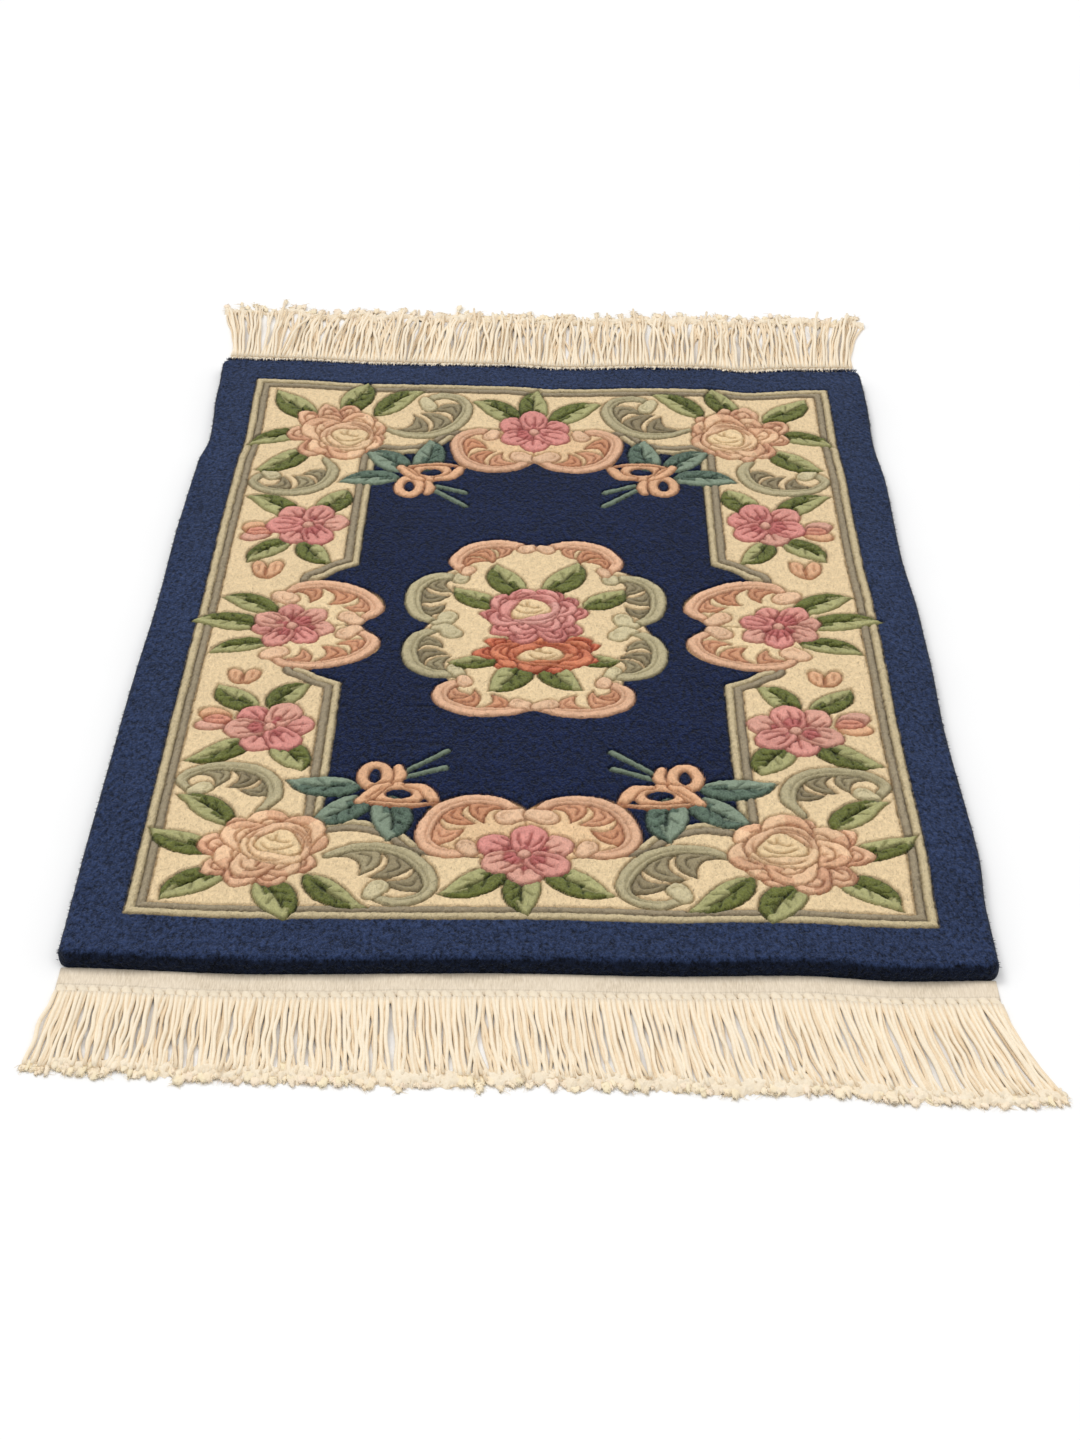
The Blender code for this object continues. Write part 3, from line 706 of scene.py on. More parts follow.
# ---------------------------------------------------------------- mesh helpers
def make_mesh(name, points, faces, material, colours=None, normals=None, flat_uv=None):
    """A smooth mesh object from points in millimetres and lists of faces, each list of one size."""
    mesh = bpy.data.meshes.new(name)
    points = np.asarray(points, float) * MM
    faces = [np.asarray(part) for part in faces if len(part)]
    loops = np.concatenate([part.ravel() for part in faces])
    sizes = np.concatenate([np.full(len(part), part.shape[1]) for part in faces])
    mesh.vertices.add(len(points))
    mesh.vertices.foreach_set("co", points.ravel().astype(np.float32))
    mesh.loops.add(len(loops))
    mesh.loops.foreach_set("vertex_index", loops.astype(np.int32))
    mesh.polygons.add(len(sizes))
    starts = np.concatenate([[0], np.cumsum(sizes)[:-1]])
    mesh.polygons.foreach_set("loop_start", starts.astype(np.int32))
    mesh.polygons.foreach_set("use_smooth", np.ones(len(sizes), bool))
    mesh.update(calc_edges=True)
    if colours is not None:
        layer = mesh.color_attributes.new("yarn", "FLOAT_COLOR", "POINT")
        packed = np.ones((len(points), 4), np.float32)
        packed[:, :3] = colours
        layer.data.foreach_set("color", packed.ravel())
    if flat_uv is not None:
        layer = mesh.uv_layers.new(name="OFBake")
        layer.data.foreach_set("uv", flat_uv[loops].ravel().astype(np.float32))
    mesh.validate()
    if normals is not None:
        mesh.normals_split_custom_set_from_vertices(normals.astype(np.float32))
    mesh.materials.append(material)
    return placed(name, mesh)


def placed(name, data):
    """An object of the data, in the scene."""
    obj = bpy.data.objects.new(name, data)
    bpy.context.scene.collection.objects.link(obj)
    return obj


def grid_quads(index):
    """Square faces of a grid of point numbers."""
    return np.stack([index[:-1, :-1], index[1:, :-1], index[1:, 1:], index[:-1, 1:]], -1).reshape(-1, 4)


def ring_faces(rows, sides):
    """Side faces and end caps of a row of rings."""
    index = np.arange(rows * sides).reshape(rows, sides)
    after = np.roll(index, -1, 1)
    quads = np.stack([index[:-1], index[1:], after[1:], after[:-1]], -1).reshape(-1, 4)
    caps = []
    for k in range(1, sides - 1):
        caps.append((index[0, 0], index[0, k], index[0, k + 1]))
        caps.append((index[-1, 0], index[-1, k + 1], index[-1, k]))
    return quads, caps


class Nodes:
    """Short hand for one material's node tree."""

    def __init__(self, name):
        self.material = bpy.data.materials.new(name)
        self.material.use_nodes = True
        self.tree = self.material.node_tree
        self.shader = self.tree.nodes["Principled BSDF"]

    def add(self, kind, **values):
        """A node with its settings, each the name of a property or of an input."""
        node = self.tree.nodes.new(kind)
        for key, value in values.items():
            if hasattr(node, key):
                setattr(node, key, value)
            else:
                node.inputs[key.replace("_", " ")].default_value = value
        return node

    def surface(self, **values):
        """Settings of the shader's own inputs."""
        for key, value in values.items():
            self.shader.inputs[key.replace("_", " ")].default_value = value

    def link(self, a, b):
        self.tree.links.new(a, b)

    def noise(self, scale, detail=3.0, stretch=(1, 1, 1), rough=0.55):
        place = self.add("ShaderNodeTexCoord")
        mapping = self.add("ShaderNodeMapping", Scale=stretch)
        noise = self.add("ShaderNodeTexNoise", Scale=scale, Detail=detail, Roughness=rough)
        self.link(place.outputs["Object"], mapping.inputs["Vector"])
        self.link(mapping.outputs["Vector"], noise.inputs["Vector"])
        return noise.outputs["Fac"]

    def spread(self, fac, low, high, from_low=0.3, from_high=0.7):
        node = self.add("ShaderNodeMapRange", From_Min=from_low, From_Max=from_high,
                        To_Min=low, To_Max=high)
        self.link(fac, node.inputs["Value"])
        return node.outputs["Result"]

    def math(self, kind, a, b):
        node = self.add("ShaderNodeMath", operation=kind)
        self.feed(a, node.inputs[0])
        self.feed(b, node.inputs[1])
        return node.outputs[0]

    def feed(self, value, socket):
        """Give an input a link, a number or a colour."""
        if hasattr(value, "is_output"):
            self.link(value, socket)
        else:
            socket.default_value = value

    def tinted(self, colour, factor):
        """Colour times a grey factor."""
        node = self.add("ShaderNodeVectorMath", operation="SCALE")
        self.link(colour, node.inputs[0])
        self.link(factor, node.inputs["Scale"])
        return node.outputs[0]

    def mix(self, factor, a, b):
        """Blend of two plain colours."""
        node = self.add("ShaderNodeMix", data_type="RGBA")
        self.feed(factor, node.inputs[0])
        colours = [socket for socket in node.inputs if socket.type == "RGBA"]
        for socket, value in zip(colours, (a, b)):
            self.feed((*value, 1), socket)
        return [socket for socket in node.outputs if socket.type == "RGBA"][0]

    def bump(self, height, distance, strength=1.0, normal=None):
        node = self.add("ShaderNodeBump", Distance=distance, Strength=strength)
        self.link(height, node.inputs["Height"])
        if normal is not None:
            self.link(normal, node.inputs["Normal"])
        self.link(node.outputs["Normal"], self.shader.inputs["Normal"])
        return node.outputs["Normal"]


def wool(name):
    """Cut wool pile: the dyed colour, speckled tips that show most in dark dye, and sheen."""
    nodes = Nodes(name)
    yarn = nodes.add("ShaderNodeAttribute", attribute_name="yarn").outputs["Color"]
    bright = nodes.add("ShaderNodeSeparateColor", mode="HSV")
    nodes.link(yarn, bright.inputs[0])
    amount = nodes.spread(bright.outputs[2], 0.95, 0.15, 0.05, 0.2)
    tips = nodes.noise(680, 2.0, (1.0, 0.6, 1.0), 0.75)
    tufts = nodes.noise(320, 2.0, (1.0, 0.55, 1.0), 0.6)
    brushed = nodes.noise(70, 3.0, (1.0, 0.8, 1.0), 0.6)
    grain = nodes.math("ADD", nodes.spread(tips, -0.8, 0.8), nodes.spread(tufts, -0.7, 0.7))
    grain = nodes.math("ADD", grain, nodes.spread(brushed, -0.18, 0.18))
    factor = nodes.math("MAXIMUM", nodes.math("ADD", nodes.math("MULTIPLY", grain, amount), 1.0), 0.25)
    nodes.link(nodes.tinted(yarn, factor), nodes.shader.inputs["Base Color"])
    nodes.bump(tips, 0.0016, 0.9, nodes.bump(tufts, 0.003, 0.8))
    nodes.surface(Roughness=0.95, Sheen_Weight=0.1, Sheen_Roughness=0.45,
                  Sheen_Tint=(0.72, 0.82, 1.0, 1), Specular_IOR_Level=0.1)
    return nodes.material


def cotton(name, colour, shade, rib=(1, 1, 1), scale=420, relief=0.0004):
    """Undyed cotton yarn, tinted strand by strand, with soft shade in its hollows."""
    nodes = Nodes(name)
    grain = nodes.noise(scale, 3.0, rib)
    patch = nodes.noise(26, 2.0)
    mix = nodes.math("MULTIPLY", nodes.spread(grain, 0.0, 0.8), nodes.spread(patch, 0.5, 1.0))
    tint = nodes.add("ShaderNodeAttribute", attribute_name="yarn").outputs["Color"]
    product = nodes.add("ShaderNodeVectorMath", operation="MULTIPLY")
    nodes.link(nodes.mix(mix, colour, shade), product.inputs[0])
    nodes.link(tint, product.inputs[1])
    nodes.link(product.outputs[0], nodes.shader.inputs["Base Color"])
    nodes.bump(grain, relief, 0.8)
    nodes.surface(Roughness=0.9, Sheen_Weight=0.22, Sheen_Roughness=0.5, Specular_IOR_Level=0.2)
    return nodes.material


# ---------------------------------------------------------------- pile pieces
def yarn_colour(carpet, q):
    """Dyed colour with painted shade in the cuts and on the pile's sides, and the small differences of
    hand-spun yarn.
    """
    deep = np.clip(carpet.groove_shade, 0, 1)[:, None]
    colour = carpet.colour
    # Painted shade in the cuts: the dyed colour pulled toward a darker copy of itself
    shadow = colour * (colour * 0.45 + 0.02)
    colour = colour * (1 - CUT_SHADE * deep) + CUT_SHADE * deep * shadow
    dark = np.clip(1 - colour.mean(1) * 5, 0, 1)
    # Random lighter and darker patches and streaks, strongest in dark dye
    mottling = speckle(carpet.x, carpet.y, 75, 9)
    mottling = mottling + 0.7 * speckle(carpet.x + 0.4 * carpet.y, carpet.y * 0.4, 17, 11)
    factor = 1 + (0.025 + 0.09 * dark) * mottling
    # Painted shade darkens the pile's sides, up to a ragged line where the top begins
    ragged = 1.1 * speckle(carpet.x, carpet.y, 4.5, 12) + 0.7 * speckle(carpet.x, carpet.y, 26, 13)
    side = 1 - ease((q.ravel() - 11.0 + ragged) / 2.4)
    factor = factor * (1 - SIDE_SHADE * side)
    return np.clip(colour * factor[:, None], 0, 1)


def patches(detail):
    """Faces of a grid: small squares where there is detail, large patches where there is none."""
    nx, ny = (detail.shape[0] - 1) // BLOCK, (detail.shape[1] - 1) // BLOCK
    index = np.arange(detail.size).reshape(detail.shape)
    busy = np.zeros((nx + 2, ny + 2), bool)

    def block(grid, i, j):
        return grid[i * BLOCK:(i + 1) * BLOCK + 1, j * BLOCK:(j + 1) * BLOCK + 1]

    for i in range(nx):
        for j in range(ny):
            busy[i + 1, j + 1] = block(detail, i, j).any()
    faces = {}
    for i in range(nx):
        for j in range(ny):
            part = block(index, i, j)
            key = (i * 2 // nx, j * 2 // ny)
            group = faces.setdefault(key, {})
            if busy[i + 1, j + 1]:
                group.setdefault(4, []).append(grid_quads(part))
                continue
            edges = ((part[:, 0], busy[i + 1, j]), (part[-1, :], busy[i + 2, j + 1]),
                     (part[::-1, -1], busy[i + 1, j + 2]), (part[0, ::-1], busy[i, j + 1]))
            ring = []
            for edge, fine in edges:
                ring.extend(edge[:-1] if fine else edge[:1])
            group.setdefault(len(ring), []).append(np.array(ring)[None])
    return {key: [np.concatenate(parts) for parts in group.values()] for key, group in faces.items()}


def build_pile(material):
    """Four carved pile pieces cut from one height field."""
    x, y, z, q = cloth_grid()
    carpet = Carpet(x, y)
    paint(carpet)
    up = ease(z / PILE_TOP * 1.25 - 0.25).ravel()
    rng = np.random.default_rng(SEED + 2)
    busy = (carpet.groove_shade > 0.012) | (np.abs(carpet.high) > 0.02) | (q.ravel() < 24)
    high = carpet.high + 0.4 * speckle(carpet.x, carpet.y, 45, 6)
    high += (0.24 * speckle(carpet.x, carpet.y, 2.4, 7) + 0.12 * rng.normal(0, 1, z.size)) * busy
    high += 0.22 * speckle(carpet.x, carpet.y, 11, 8)
    height = z.ravel() + up * (high - 0.3)
    colour = yarn_colour(carpet, q)
    points = np.stack([carpet.x, carpet.y, height], 1)
    grid = points.reshape(*x.shape, 3)
    normal = np.cross(np.gradient(grid, axis=0), np.gradient(grid, axis=1))
    normal /= np.maximum(np.linalg.norm(normal, axis=2), 1e-9)[..., None]
    normal = normal.reshape(-1, 3)
    detail = busy.reshape(x.shape) | (q < 24)
    pieces = []
    for (i, j), faces in patches(detail).items():
        used = np.unique(np.concatenate([part.ravel() for part in faces]))
        parts = [np.searchsorted(used, part) for part in faces]
        plan = points[used, :2]
        low = plan.min(0)
        span = (plan.max(0) - low).max()
        name = f"pile_{('front', 'back')[j]}_{('left', 'right')[i]}"
        pieces.append(make_mesh(name, points[used], parts, material, colour[used], normal[used],
                                (plan - low) / span))
    return pieces


def closed_slab(name, x, y, top, low, material, colours=None):
    """A slab with a detailed face and one flat polygon on its other side."""
    nx, ny = x.shape
    index = np.arange(nx * ny).reshape(nx, ny)
    quads = grid_quads(index)
    rim = np.concatenate([index[:-1, 0], index[-1, :-1], index[:0:-1, -1], index[0, :0:-1]])
    place = np.stack([x, y, top], -1).reshape(-1, 3)
    base = place[rim].copy()
    base[:, 2] = low
    lower = nx * ny + np.arange(len(rim))
    walls = np.stack([rim, lower, np.roll(lower, -1), np.roll(rim, -1)], 1)
    cover = lower[::-1][None]
    corner = quads[0]
    across = np.cross(place[corner[1]] - place[corner[0]], place[corner[3]] - place[corner[0]])
    if (across[2] > 0) != (top.mean() > low):
        quads, walls, cover = quads[:, ::-1], walls[:, ::-1], cover[:, ::-1]
    if colours is not None:
        colours = np.concatenate([colours, np.tile(colours.mean(0), (len(rim), 1))])
    return make_mesh(name, np.concatenate([place, base]), [quads, walls, cover], material, colours)


def build_foundation(material):
    """Woven ground of the rug, with the knots' colours on its back."""
    x, y = np.meshgrid(np.linspace(-1, 1, 76) * (HALF_WIDTH - FOUNDATION_INSET),
                       np.linspace(-1, 1, 113) * (HALF_LENGTH - FOUNDATION_INSET), indexing="ij")
    over_x = np.maximum(np.abs(x) - (HALF_WIDTH - CORNER_RADIUS), 0)
    over_y = np.maximum(np.abs(y) - (HALF_LENGTH - CORNER_RADIUS), 0)
    far = np.hypot(over_x, over_y)
    pull = np.minimum(1, (CORNER_RADIUS - FOUNDATION_INSET) / np.maximum(far, 1e-6)) - 1
    x, y = wander(x + np.sign(x) * over_x * pull, y + np.sign(y) * over_y * pull)
    carpet = Carpet(x, y)
    paint(carpet)
    back = np.clip(0.3 + 0.15 * speckle(x, y, 9, 14), 0.1, 0.6)
    return closed_slab("foundation", x, y, back, 2.8, material, carpet.colour * 0.85 + 0.05)


# ---------------------------------------------------------------- fringe
def end_edge(x, end):
    """Where the pile's end lies at a place across the rug."""
    return HALF_LENGTH + table(SWELL["front" if end < 0 else "back"], x)


def tube(path, radii, sides):
    """Points and faces of a tube along a path, closed at both ends."""
    path = np.asarray(path, float)
    steps = np.gradient(path, axis=0)
    steps /= np.maximum(np.linalg.norm(steps, axis=1), 1e-9)[:, None]
    right = np.cross(steps, np.array([0.0, 0.0, 1.0]))
    right /= np.maximum(np.linalg.norm(right, axis=1), 1e-9)[:, None]
    over = np.cross(right, steps)
    turn = np.linspace(0, 2 * math.pi, sides, endpoint=False)
    size = np.asarray(radii, float)[:, None]
    points = (path[:, None] + right[:, None] * (size * np.cos(turn))[..., None]
              + over[:, None] * (size * np.sin(turn))[..., None])
    return points.reshape(-1, 3), *ring_faces(len(path), sides)


class Heap:
    """Collects many small meshes in one piece."""

    def __init__(self):
        self.points, self.quads, self.triangles, self.colours = [], [], [], []
        self.count = 0

    def add(self, points, quads, triangles, colour=None):
        self.points.append(points)
        if len(quads):
            self.quads.append(np.asarray(quads) + self.count)
        if len(triangles):
            self.triangles.append(np.asarray(triangles) + self.count)
        if colour is not None:
            self.colours.append(np.broadcast_to(colour, points.shape))
        self.count += len(points)

    def done(self, name, material):
        faces = [np.concatenate(parts) for parts in (self.quads, self.triangles) if parts]
        colours = np.concatenate(self.colours) if self.colours else None
        return make_mesh(name, np.concatenate(self.points), faces, material, colours)


FRINGE = {
    -1: {"name": "front", "seed": 5, "length": 69.0, "extra": ((-304, 0), (0, 7), (304, 17)),
         "lean": ((-304, -4), (-285, -3), (-262, -1), (-200, 2), (0, 8), (150, 13), (260, 16),
                 (304, 25)),
         "stray": 2.6, "drift": 1.0, "loose": 0.05, "rise": 1.0, "ragged": 1.8, "knot_rise": 1.0},
    1: {"name": "back", "seed": 9, "length": 107.0, "extra": ((-304, 4), (0, 5), (304, 8)),
        "lean": ((-304, -18), (-280, -9), (-240, 2), (-100, 3), (100, 2), (250, 9), (304, 20)),
        "stray": 7.5, "drift": 0.6, "loose": 0.28, "rise": 3.0, "ragged": 7.0, "knot_rise": 0.6},
}


def fringe_band(end, material):
    """Flat woven band between pile and knots."""
    rows = np.array([0.0, 0.3, 1.5, 4, 8, 12, 15, 16.2, 17.4, 18.6, 20, 21.2, 22.0])
    crest = np.array([0.2, 1.7, 2.1, 2.0, 1.95, 1.9, 1.8, 2.15, 1.75, 2.15, 1.8, 1.5, 0.3])
    across = np.linspace(-FRINGE_HALF, FRINGE_HALF, 400)
    x, row = np.meshgrid(across, rows, indexing="ij")
    wave = 0.5 * speckle(x, row, 40, 31 + end) + 0.35 * speckle(x, row, 9, 33 + end)
    y = (end_edge(across, end) + 0.4)[:, None] + row + wave * (row / BAND_DEPTH)
    inside = (row > 0.2) & (row < 21.9)
    lumps = 0.18 * speckle(x, row, 2.2, 35 + end) + 0.15 * speckle(x, row, 30, 36)
    z = crest[None, :] + lumps * inside
    # Painted shade on the band where the pile overhangs it, fading over its first several millimetres
    shade = 1 - 0.5 * (1 - ease(row / (7.0 + 4.5 * speckle(x, row * 0, 38, 37 + end))))
    # Painted shade in the low rows beside the two ridges
    shade = np.where((np.abs(row - 17.4) < 0.1) | (np.abs(row - 20) < 0.1), shade * 0.84, shade)
    tint = shade.ravel()[:, None] * np.array([1.0, 0.99, 0.98])
    return closed_slab(f"band_{FRINGE[end]['name']}", x, end * y, z, 0.05, material, tint)


# Strands of one knot: step off its middle, whether it lies beneath
STRANDS = ((-1.8, False), (0.0, True), (1.75, False), (3.5, True), (1.9, True))


def fringe_strands(end, yarn_material, tip_material):
    """Knots, strands in fives and matted tips of one end."""
    spec = FRINGE[end]
    stray, rise = spec["stray"], spec["rise"]
    rng = np.random.default_rng(spec["seed"])
    yarn = Heap()
    tips = Heap()
    middles = (np.arange(KNOTS) + 0.5) / KNOTS * 2 * FRINGE_HALF - FRINGE_HALF
    drift = speckle(np.arange(KNOTS * 4) * 1.77, np.zeros(KNOTS * 4), 26, 41 + end)
    ends = []
    for k, middle in enumerate(middles):
        root = end_edge(middle, end) + BAND_DEPTH - 1.0
        knot(yarn, middle, root, end, rng, spec["knot_rise"])
        for twin, (across, under) in enumerate(STRANDS):
            share = np.linspace(0, 1, 11 if under else 15)
            pulled = drift[4 * k + min(twin, 3)]
            start = middle + across + rng.uniform(-0.4, 0.4)
            length = spec["length"] + table(spec["extra"], middle) + rng.normal(0, spec["ragged"])
            if rng.random() < SHORT_SHARE:
                length -= rng.uniform(5, 16)
            straight = table(spec["lean"], middle)
            lean = straight + pulled * stray * spec["drift"]
            lean += rng.normal(0, stray * (1.3 if under else 0.5))
            if rng.random() < spec["loose"]:
                lean += rng.choice([-1, 1]) * rng.uniform(5, 14)
            if abs(middle) > FRINGE_HALF - 20:
                lean = np.clip(lean, straight - 3, straight + 3)
            curve = rng.normal(0, 0.9 + 0.15 * stray) + 0.8 * pulled
            waves = rng.uniform(1.2, 3.0)
            ripple = rng.uniform(0.3, 1.2) * np.sin(waves * 6.28 * share + rng.uniform(0, 6.28))
            px = (start + lean * (0.4 * share + 0.6 * share ** 1.7) + curve * np.sin(math.pi * share)
                  + ripple * share ** 0.6)
            py = root + 5.0 + length * share
            radius = (1.25 if under else 1.4) * rng.uniform(0.9, 1.1) * (1 - 0.08 * share)
            layer = 0.0 if under else 0.5 + abs(rng.normal(0.8, 0.8)) * rise
            pz = radius + layer * np.sin(math.pi * np.clip(share * 1.1, 0, 1))
            pz = pz + 1.2 * (1 - ease(share * 5))
            pz = pz + max(0.0, rng.normal(-0.5, 1.0)) * rise * 1.4 * share ** 3
            path = np.stack([px, end * py, pz + 0.08], 1)
            points, quads, caps = tube(path, radius, 5 if under else 7)
            points[:, 2] = np.maximum(points[:, 2], FLOOR_GAP)
            # Strands lying beneath are tinted darker and browner: painted shade between the strands on
            # top
            tint = np.array([0.94, 0.88, 0.80] if under else [1.0, 0.99, 0.97])
            yarn.add(points, quads, caps, tint * rng.uniform(0.94, 1.0))
            ends.append(path[-1])
            if twin < 3:
                fray(tips, path, rng, spec)
    matted(tips, np.array(ends), end, rng, spec)
    return (yarn.done(f"strands_{spec['name']}", yarn_material),
            tips.done(f"tips_{spec['name']}", tip_material))


def matted(heap, ends, end, rng, spec):
    """Felted strip that joins the tips of neighbouring strands."""
    ends = ends[np.argsort(ends[:, 0])]
    across = np.arange(ends[0, 0] - 1.5, ends[-1, 0] + 1.5, 1.3)
    smooth = np.convolve(np.pad(ends[:, 1], 4, mode="edge"), np.ones(9) / 9, "valid")
    line = np.interp(across, ends[:, 0], smooth)
    x, s = np.meshgrid(across, np.linspace(0, 1, 9), indexing="ij")

    def uneven(size, seed):
        return speckle(x, s * 0, size, seed + end)

    lump = uneven(15, 57)
    inner = -8.0 - 3.5 * uneven(7, 51) - 2.5 * uneven(2.5, 52)
    outer = 5.0 + 3.2 * lump + 2.0 * uneven(6, 53) + 2.4 * uneven(1.9, 54)
    y = line[:, None] + end * (inner + (outer - inner) * s) + 0.5 * rng.uniform(-1, 1, x.shape)
    puff = np.sin(math.pi * s) ** 0.6
    z = 0.1 + puff * (1.9 + 0.4 * spec["rise"] + 0.9 * lump + 1.1 * speckle(x, y, 3.2, 55)
                      + 0.6 * rng.uniform(-1, 1, x.shape))
    z = np.maximum(z, 0.08)
    quads = grid_quads(np.arange(x.size).reshape(x.shape))
    if end < 0:
        quads = quads[:, ::-1]
    tan = 0.94 + 0.06 * speckle(x, y, 8, 56).ravel()[:, None] * np.array([0.5, 0.8, 1.2])
    heap.add(np.stack([x, y, z], -1).reshape(-1, 3), quads, [], tan)


def knot(heap, middle, root, end, rng, rise):
    """One flat slanted knot holding its strands to the band."""
    slant = rng.uniform(1.2, 2.6)
    path = np.array([(middle - 1.6, root - 3.2, 1.3), (middle - 1.2, root - 2.0, 1.6),
                     (middle - 0.4, root + 0.5, 1.9), (middle + slant * 0.4, root + 3.5, 2.1),
                     (middle + slant * 0.8, root + 6.4, 2.0), (middle + slant, root + 8.3, 1.7),
                     (middle + slant, root + 9.0, 1.5)])
    path[:, 0] += rng.uniform(-0.4, 0.4)
    path[:, 1] = end * (path[:, 1] + rng.uniform(-0.4, 0.5))
    points, quads, caps = tube(path, np.array([0.9, 2.3, 3.2, 3.45, 3.3, 2.5, 1.0]), 10)
    points[:, 2] = np.maximum(0.1, 1.5 + (points[:, 2] - 1.7) * 0.48 * rise)
    heap.add(points, quads, caps, np.array([1.0, 0.985, 0.96]) * rng.uniform(0.86, 0.93))


def fray(heap, path, rng, spec):
    """Matted cotton at a strand's tip: a lumpy wad and some hairs."""
    way = path[-1] - path[-3]
    way[2] = 0.0
    way /= np.linalg.norm(way)
    cross = np.array([-way[1], way[0], 0.0])
    rows, sides = 6, 8
    lat = np.linspace(0.12, math.pi - 0.12, rows)[:, None]
    lon = np.linspace(0, 2 * math.pi, sides, endpoint=False)
    size = np.array([rng.uniform(3.0, 6.6), rng.uniform(1.6, 4.0), rng.uniform(0.7, 1.5)])
    middle = path[-1] + way * size[0] * rng.uniform(0.1, 0.7)
    middle[2] = size[2] * 0.8 + rng.uniform(0, 0.6) * spec["rise"]
    wobble = 1 + 0.34 * rng.uniform(-1, 1, (rows, sides))
    along = np.cos(lat) * size[0] * wobble
    aside = np.sin(lat) * np.cos(lon) * size[1] * wobble
    rise = np.sin(lat) * np.sin(lon) * size[2] * wobble
    points = middle + along[..., None] * way + aside[..., None] * cross
    points[..., 2] += rise
    points = points.reshape(-1, 3)
    points[:, 2] = np.maximum(points[:, 2], FLOOR_GAP)
    tint = rng.uniform(0.92, 1.0) * np.array([1.0, rng.uniform(0.96, 1.0), rng.uniform(0.9, 0.98)])
    heap.add(points, *ring_faces(rows, sides), tint)
    for _ in range(8):
        start = middle + cross * rng.uniform(-1, 1) * size[1] * 0.7
        start = start + way * rng.uniform(-0.3, 0.8) * size[0]
        angle = rng.normal(0, 0.95)
        ahead = way * math.cos(angle) + cross * math.sin(angle)
        reach = rng.uniform(2.0, 5.5)
        bow_out = cross * rng.normal(0, 0.9)
        low = rng.uniform(0.3, 1.6) * (0.6 + 0.4 * spec["rise"])
        hair = np.array([start, start + ahead * reach * 0.55 + bow_out,
                         start + ahead * reach + bow_out * 2.2])
        hair[:, 2] = (low, low + rng.uniform(0, 1.0), max(0.2, low * rng.uniform(0.1, 1.3)))
        heap.add(*tube(hair, np.array([0.26, 0.2, 0.06]) * rng.uniform(0.7, 1.2), 3), tint)


def edge_fuzz(material):
    """Loose wool tips standing off the rug's rim."""
    rng = np.random.default_rng(77)
    heap = Heap()
    lengths = 2 * np.array([HALF_WIDTH, HALF_LENGTH, HALF_WIDTH * FUZZ_BACK, HALF_LENGTH])
    for side in rng.choice(4, FUZZ_COUNT, p=lengths / lengths.sum()):
        back = side == 2
        place = rng.uniform(-1, 1)
        deep = rng.uniform(0, 1)
        z = rng.uniform(11.8, PILE_TOP) if back else 3.0 + 10.4 * deep
        inset = 0.0 if z < 8 else (z - 8) ** 1.5 * 0.35
        if side % 2 == 0:
            x = place * (HALF_WIDTH - 4)
            y = (HALF_LENGTH - inset) * (1 if back else -1)
            out = np.array([0.0, np.sign(y)])
        else:
            y = place * (HALF_LENGTH - 4)
            x = (HALF_WIDTH - inset) * (1 if side == 1 else -1)
            out = np.array([np.sign(x), 0.0])
        wx, wy = wander(np.array([x]), np.array([y]))
        base = np.array([wx[0] - out[0] * 0.6, wy[0] - out[1] * 0.6, z])
        along = quarter_turn(out)
        reach = rng.uniform(1.0, 2.6) * (1.6 if back else 1.0)
        tilt = rng.normal(0, 0.5)
        step = (out * math.cos(tilt) + along * math.sin(tilt)) * reach
        rise = rng.uniform(0.4, 2.4) if back else rng.uniform(-0.5, 1.1) * deep
        tip = base + np.array([*step, rise])
        tip[2] = min(max(tip[2], 0.5), 16.0)
        flat = np.array([*along, 0.0]) * (0.42 if back else 0.28)
        points = np.array([base + flat, base - flat, base + np.array([0, 0, 0.45]), tip])
        heap.add(points, [], [(0, 1, 3), (1, 2, 3), (2, 0, 3), (0, 2, 1)], NAVY * rng.uniform(0.8, 1.5))
    return heap.done("edge_fuzz", material)


# ---------------------------------------------------------------- camera, floor and light
camera = placed("camera", bpy.data.cameras.new("camera"))
camera.location = (0.00415, -1.67681, 0.99447)
camera.rotation_euler = [math.radians(angle) for angle in (56.96523, -0.76724, 0.46947)]
camera.data.sensor_width = 36
camera.data.lens = 60.246
camera.data.clip_start = 0.05
bpy.context.scene.camera = camera

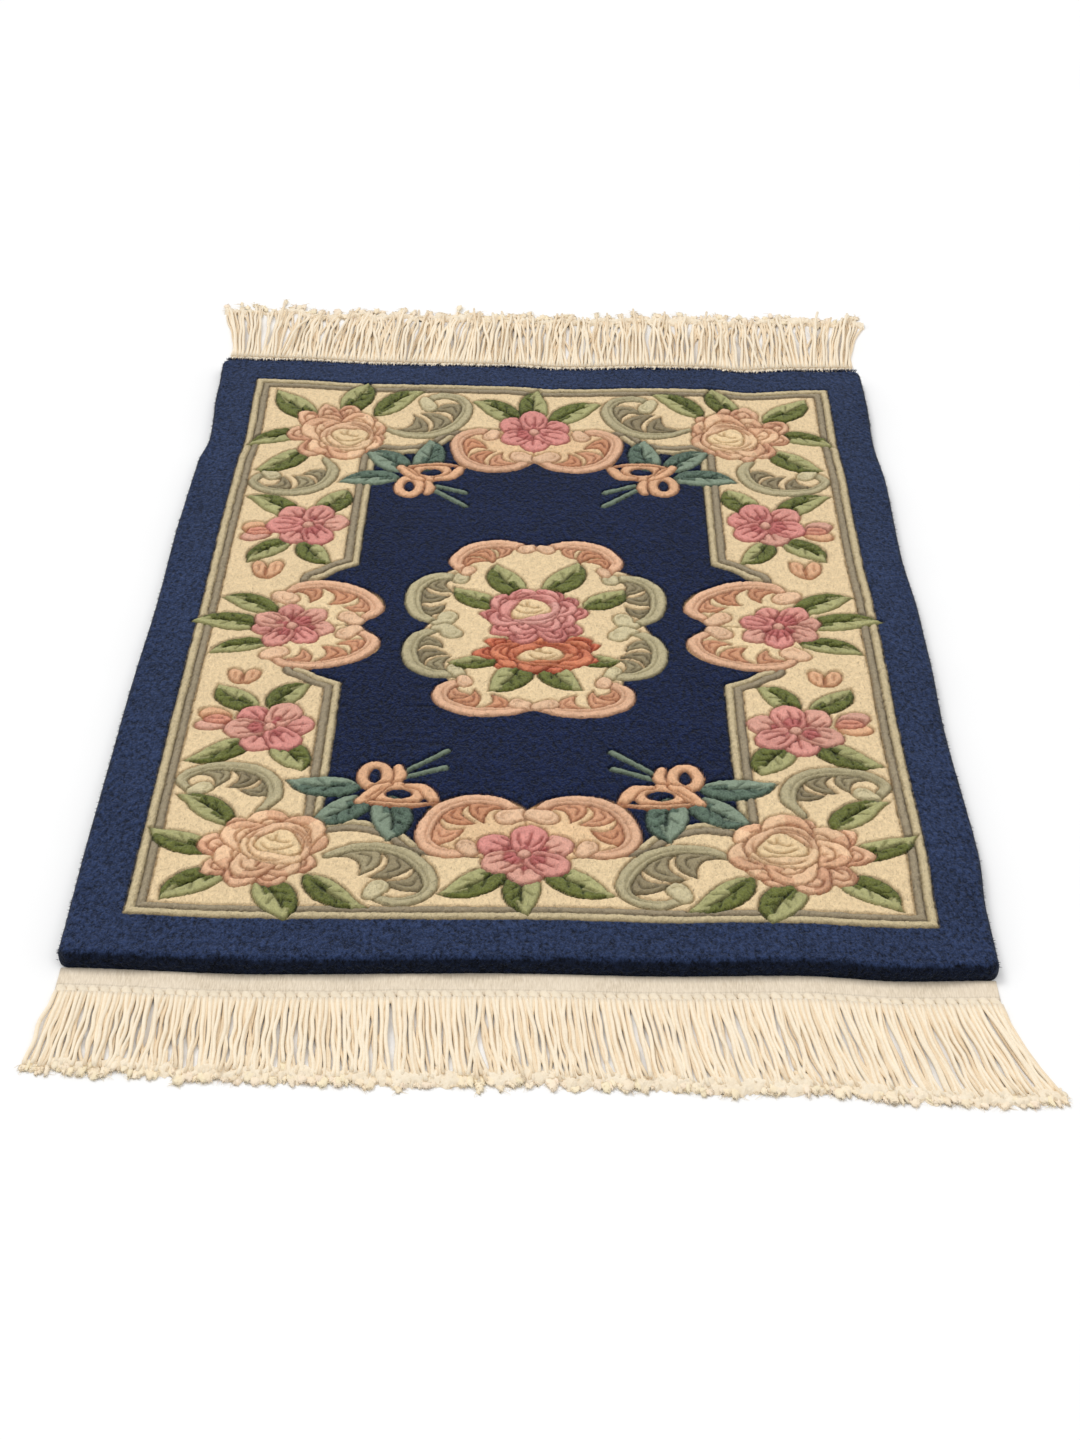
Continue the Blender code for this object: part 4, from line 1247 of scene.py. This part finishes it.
floor_nodes = Nodes("floor_paper")
grain = floor_nodes.noise(6, 2.0)
paper = floor_nodes.mix(floor_nodes.spread(grain, 0, 1), (0.93,) * 3, (0.95,) * 3)
floor_nodes.link(paper, floor_nodes.shader.inputs["Base Color"])
floor_nodes.surface(Roughness=0.9, Specular_IOR_Level=0.1)
floor = make_mesh("floor", [(-9000, -9000, 0), (9000, -9000, 0), (9000, 9000, 0), (-9000, 9000, 0)],
                  [np.array([(0, 1, 2, 3)])], floor_nodes.material)

world = bpy.data.worlds.new("studio")
world.use_nodes = True
sky = world.node_tree.nodes["Background"].inputs
sky["Color"].default_value = (1.0, 1.0, 1.0, 1)
sky["Strength"].default_value = 0.74
bpy.context.scene.world = world
bpy.context.scene.view_settings.view_transform = "Standard"

# Large soft sources: direction they shine from, strength, angular size in degrees
for name, (a, b, c), strength, size in (("key", (-0.9, 0.9, 1.7), 1.0, 25),
                                        ("fill", (0.9, -0.5, 1.6), 0.35, 40)):
    lamp = bpy.data.lights.new(name, "SUN")
    lamp.energy = strength
    lamp.angle = math.radians(size)
    light = placed(name, lamp)
    light.rotation_euler = (math.atan2(math.hypot(a, b), c), 0, math.atan2(b, a) + math.pi / 2)

# ---------------------------------------------------------------- pieces
wool_material = wool("wool_pile")
pile = build_pile(wool_material)
foundation = build_foundation(wool("foundation_weave"))
fuzz = edge_fuzz(wool("wool_fuzz"))
band_material = cotton("cotton_band", srgb(244, 230, 208), srgb(200, 182, 154), (7, 1, 1), 160, 0.0008)
strand_material = cotton("cotton_yarn", srgb(253, 240, 217), srgb(243, 226, 199), relief=0.0003)
tip_material = cotton("cotton_tips", srgb(255, 241, 217), srgb(244, 225, 194), scale=500, relief=0.0006)
ends = {}
for end in (-1, 1):
    band = fringe_band(end, band_material)
    strands, frays = fringe_strands(end, strand_material, tip_material)
    ends[end] = (band, strands, frays)
    node = "fringe_front" if end < 0 else "fringe_back"
    for piece in ends[end]:
        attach(piece, "root")
        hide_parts(node)
for piece in (*pile, foundation, fuzz):
    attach(piece, "root")
    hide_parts("rug_body")
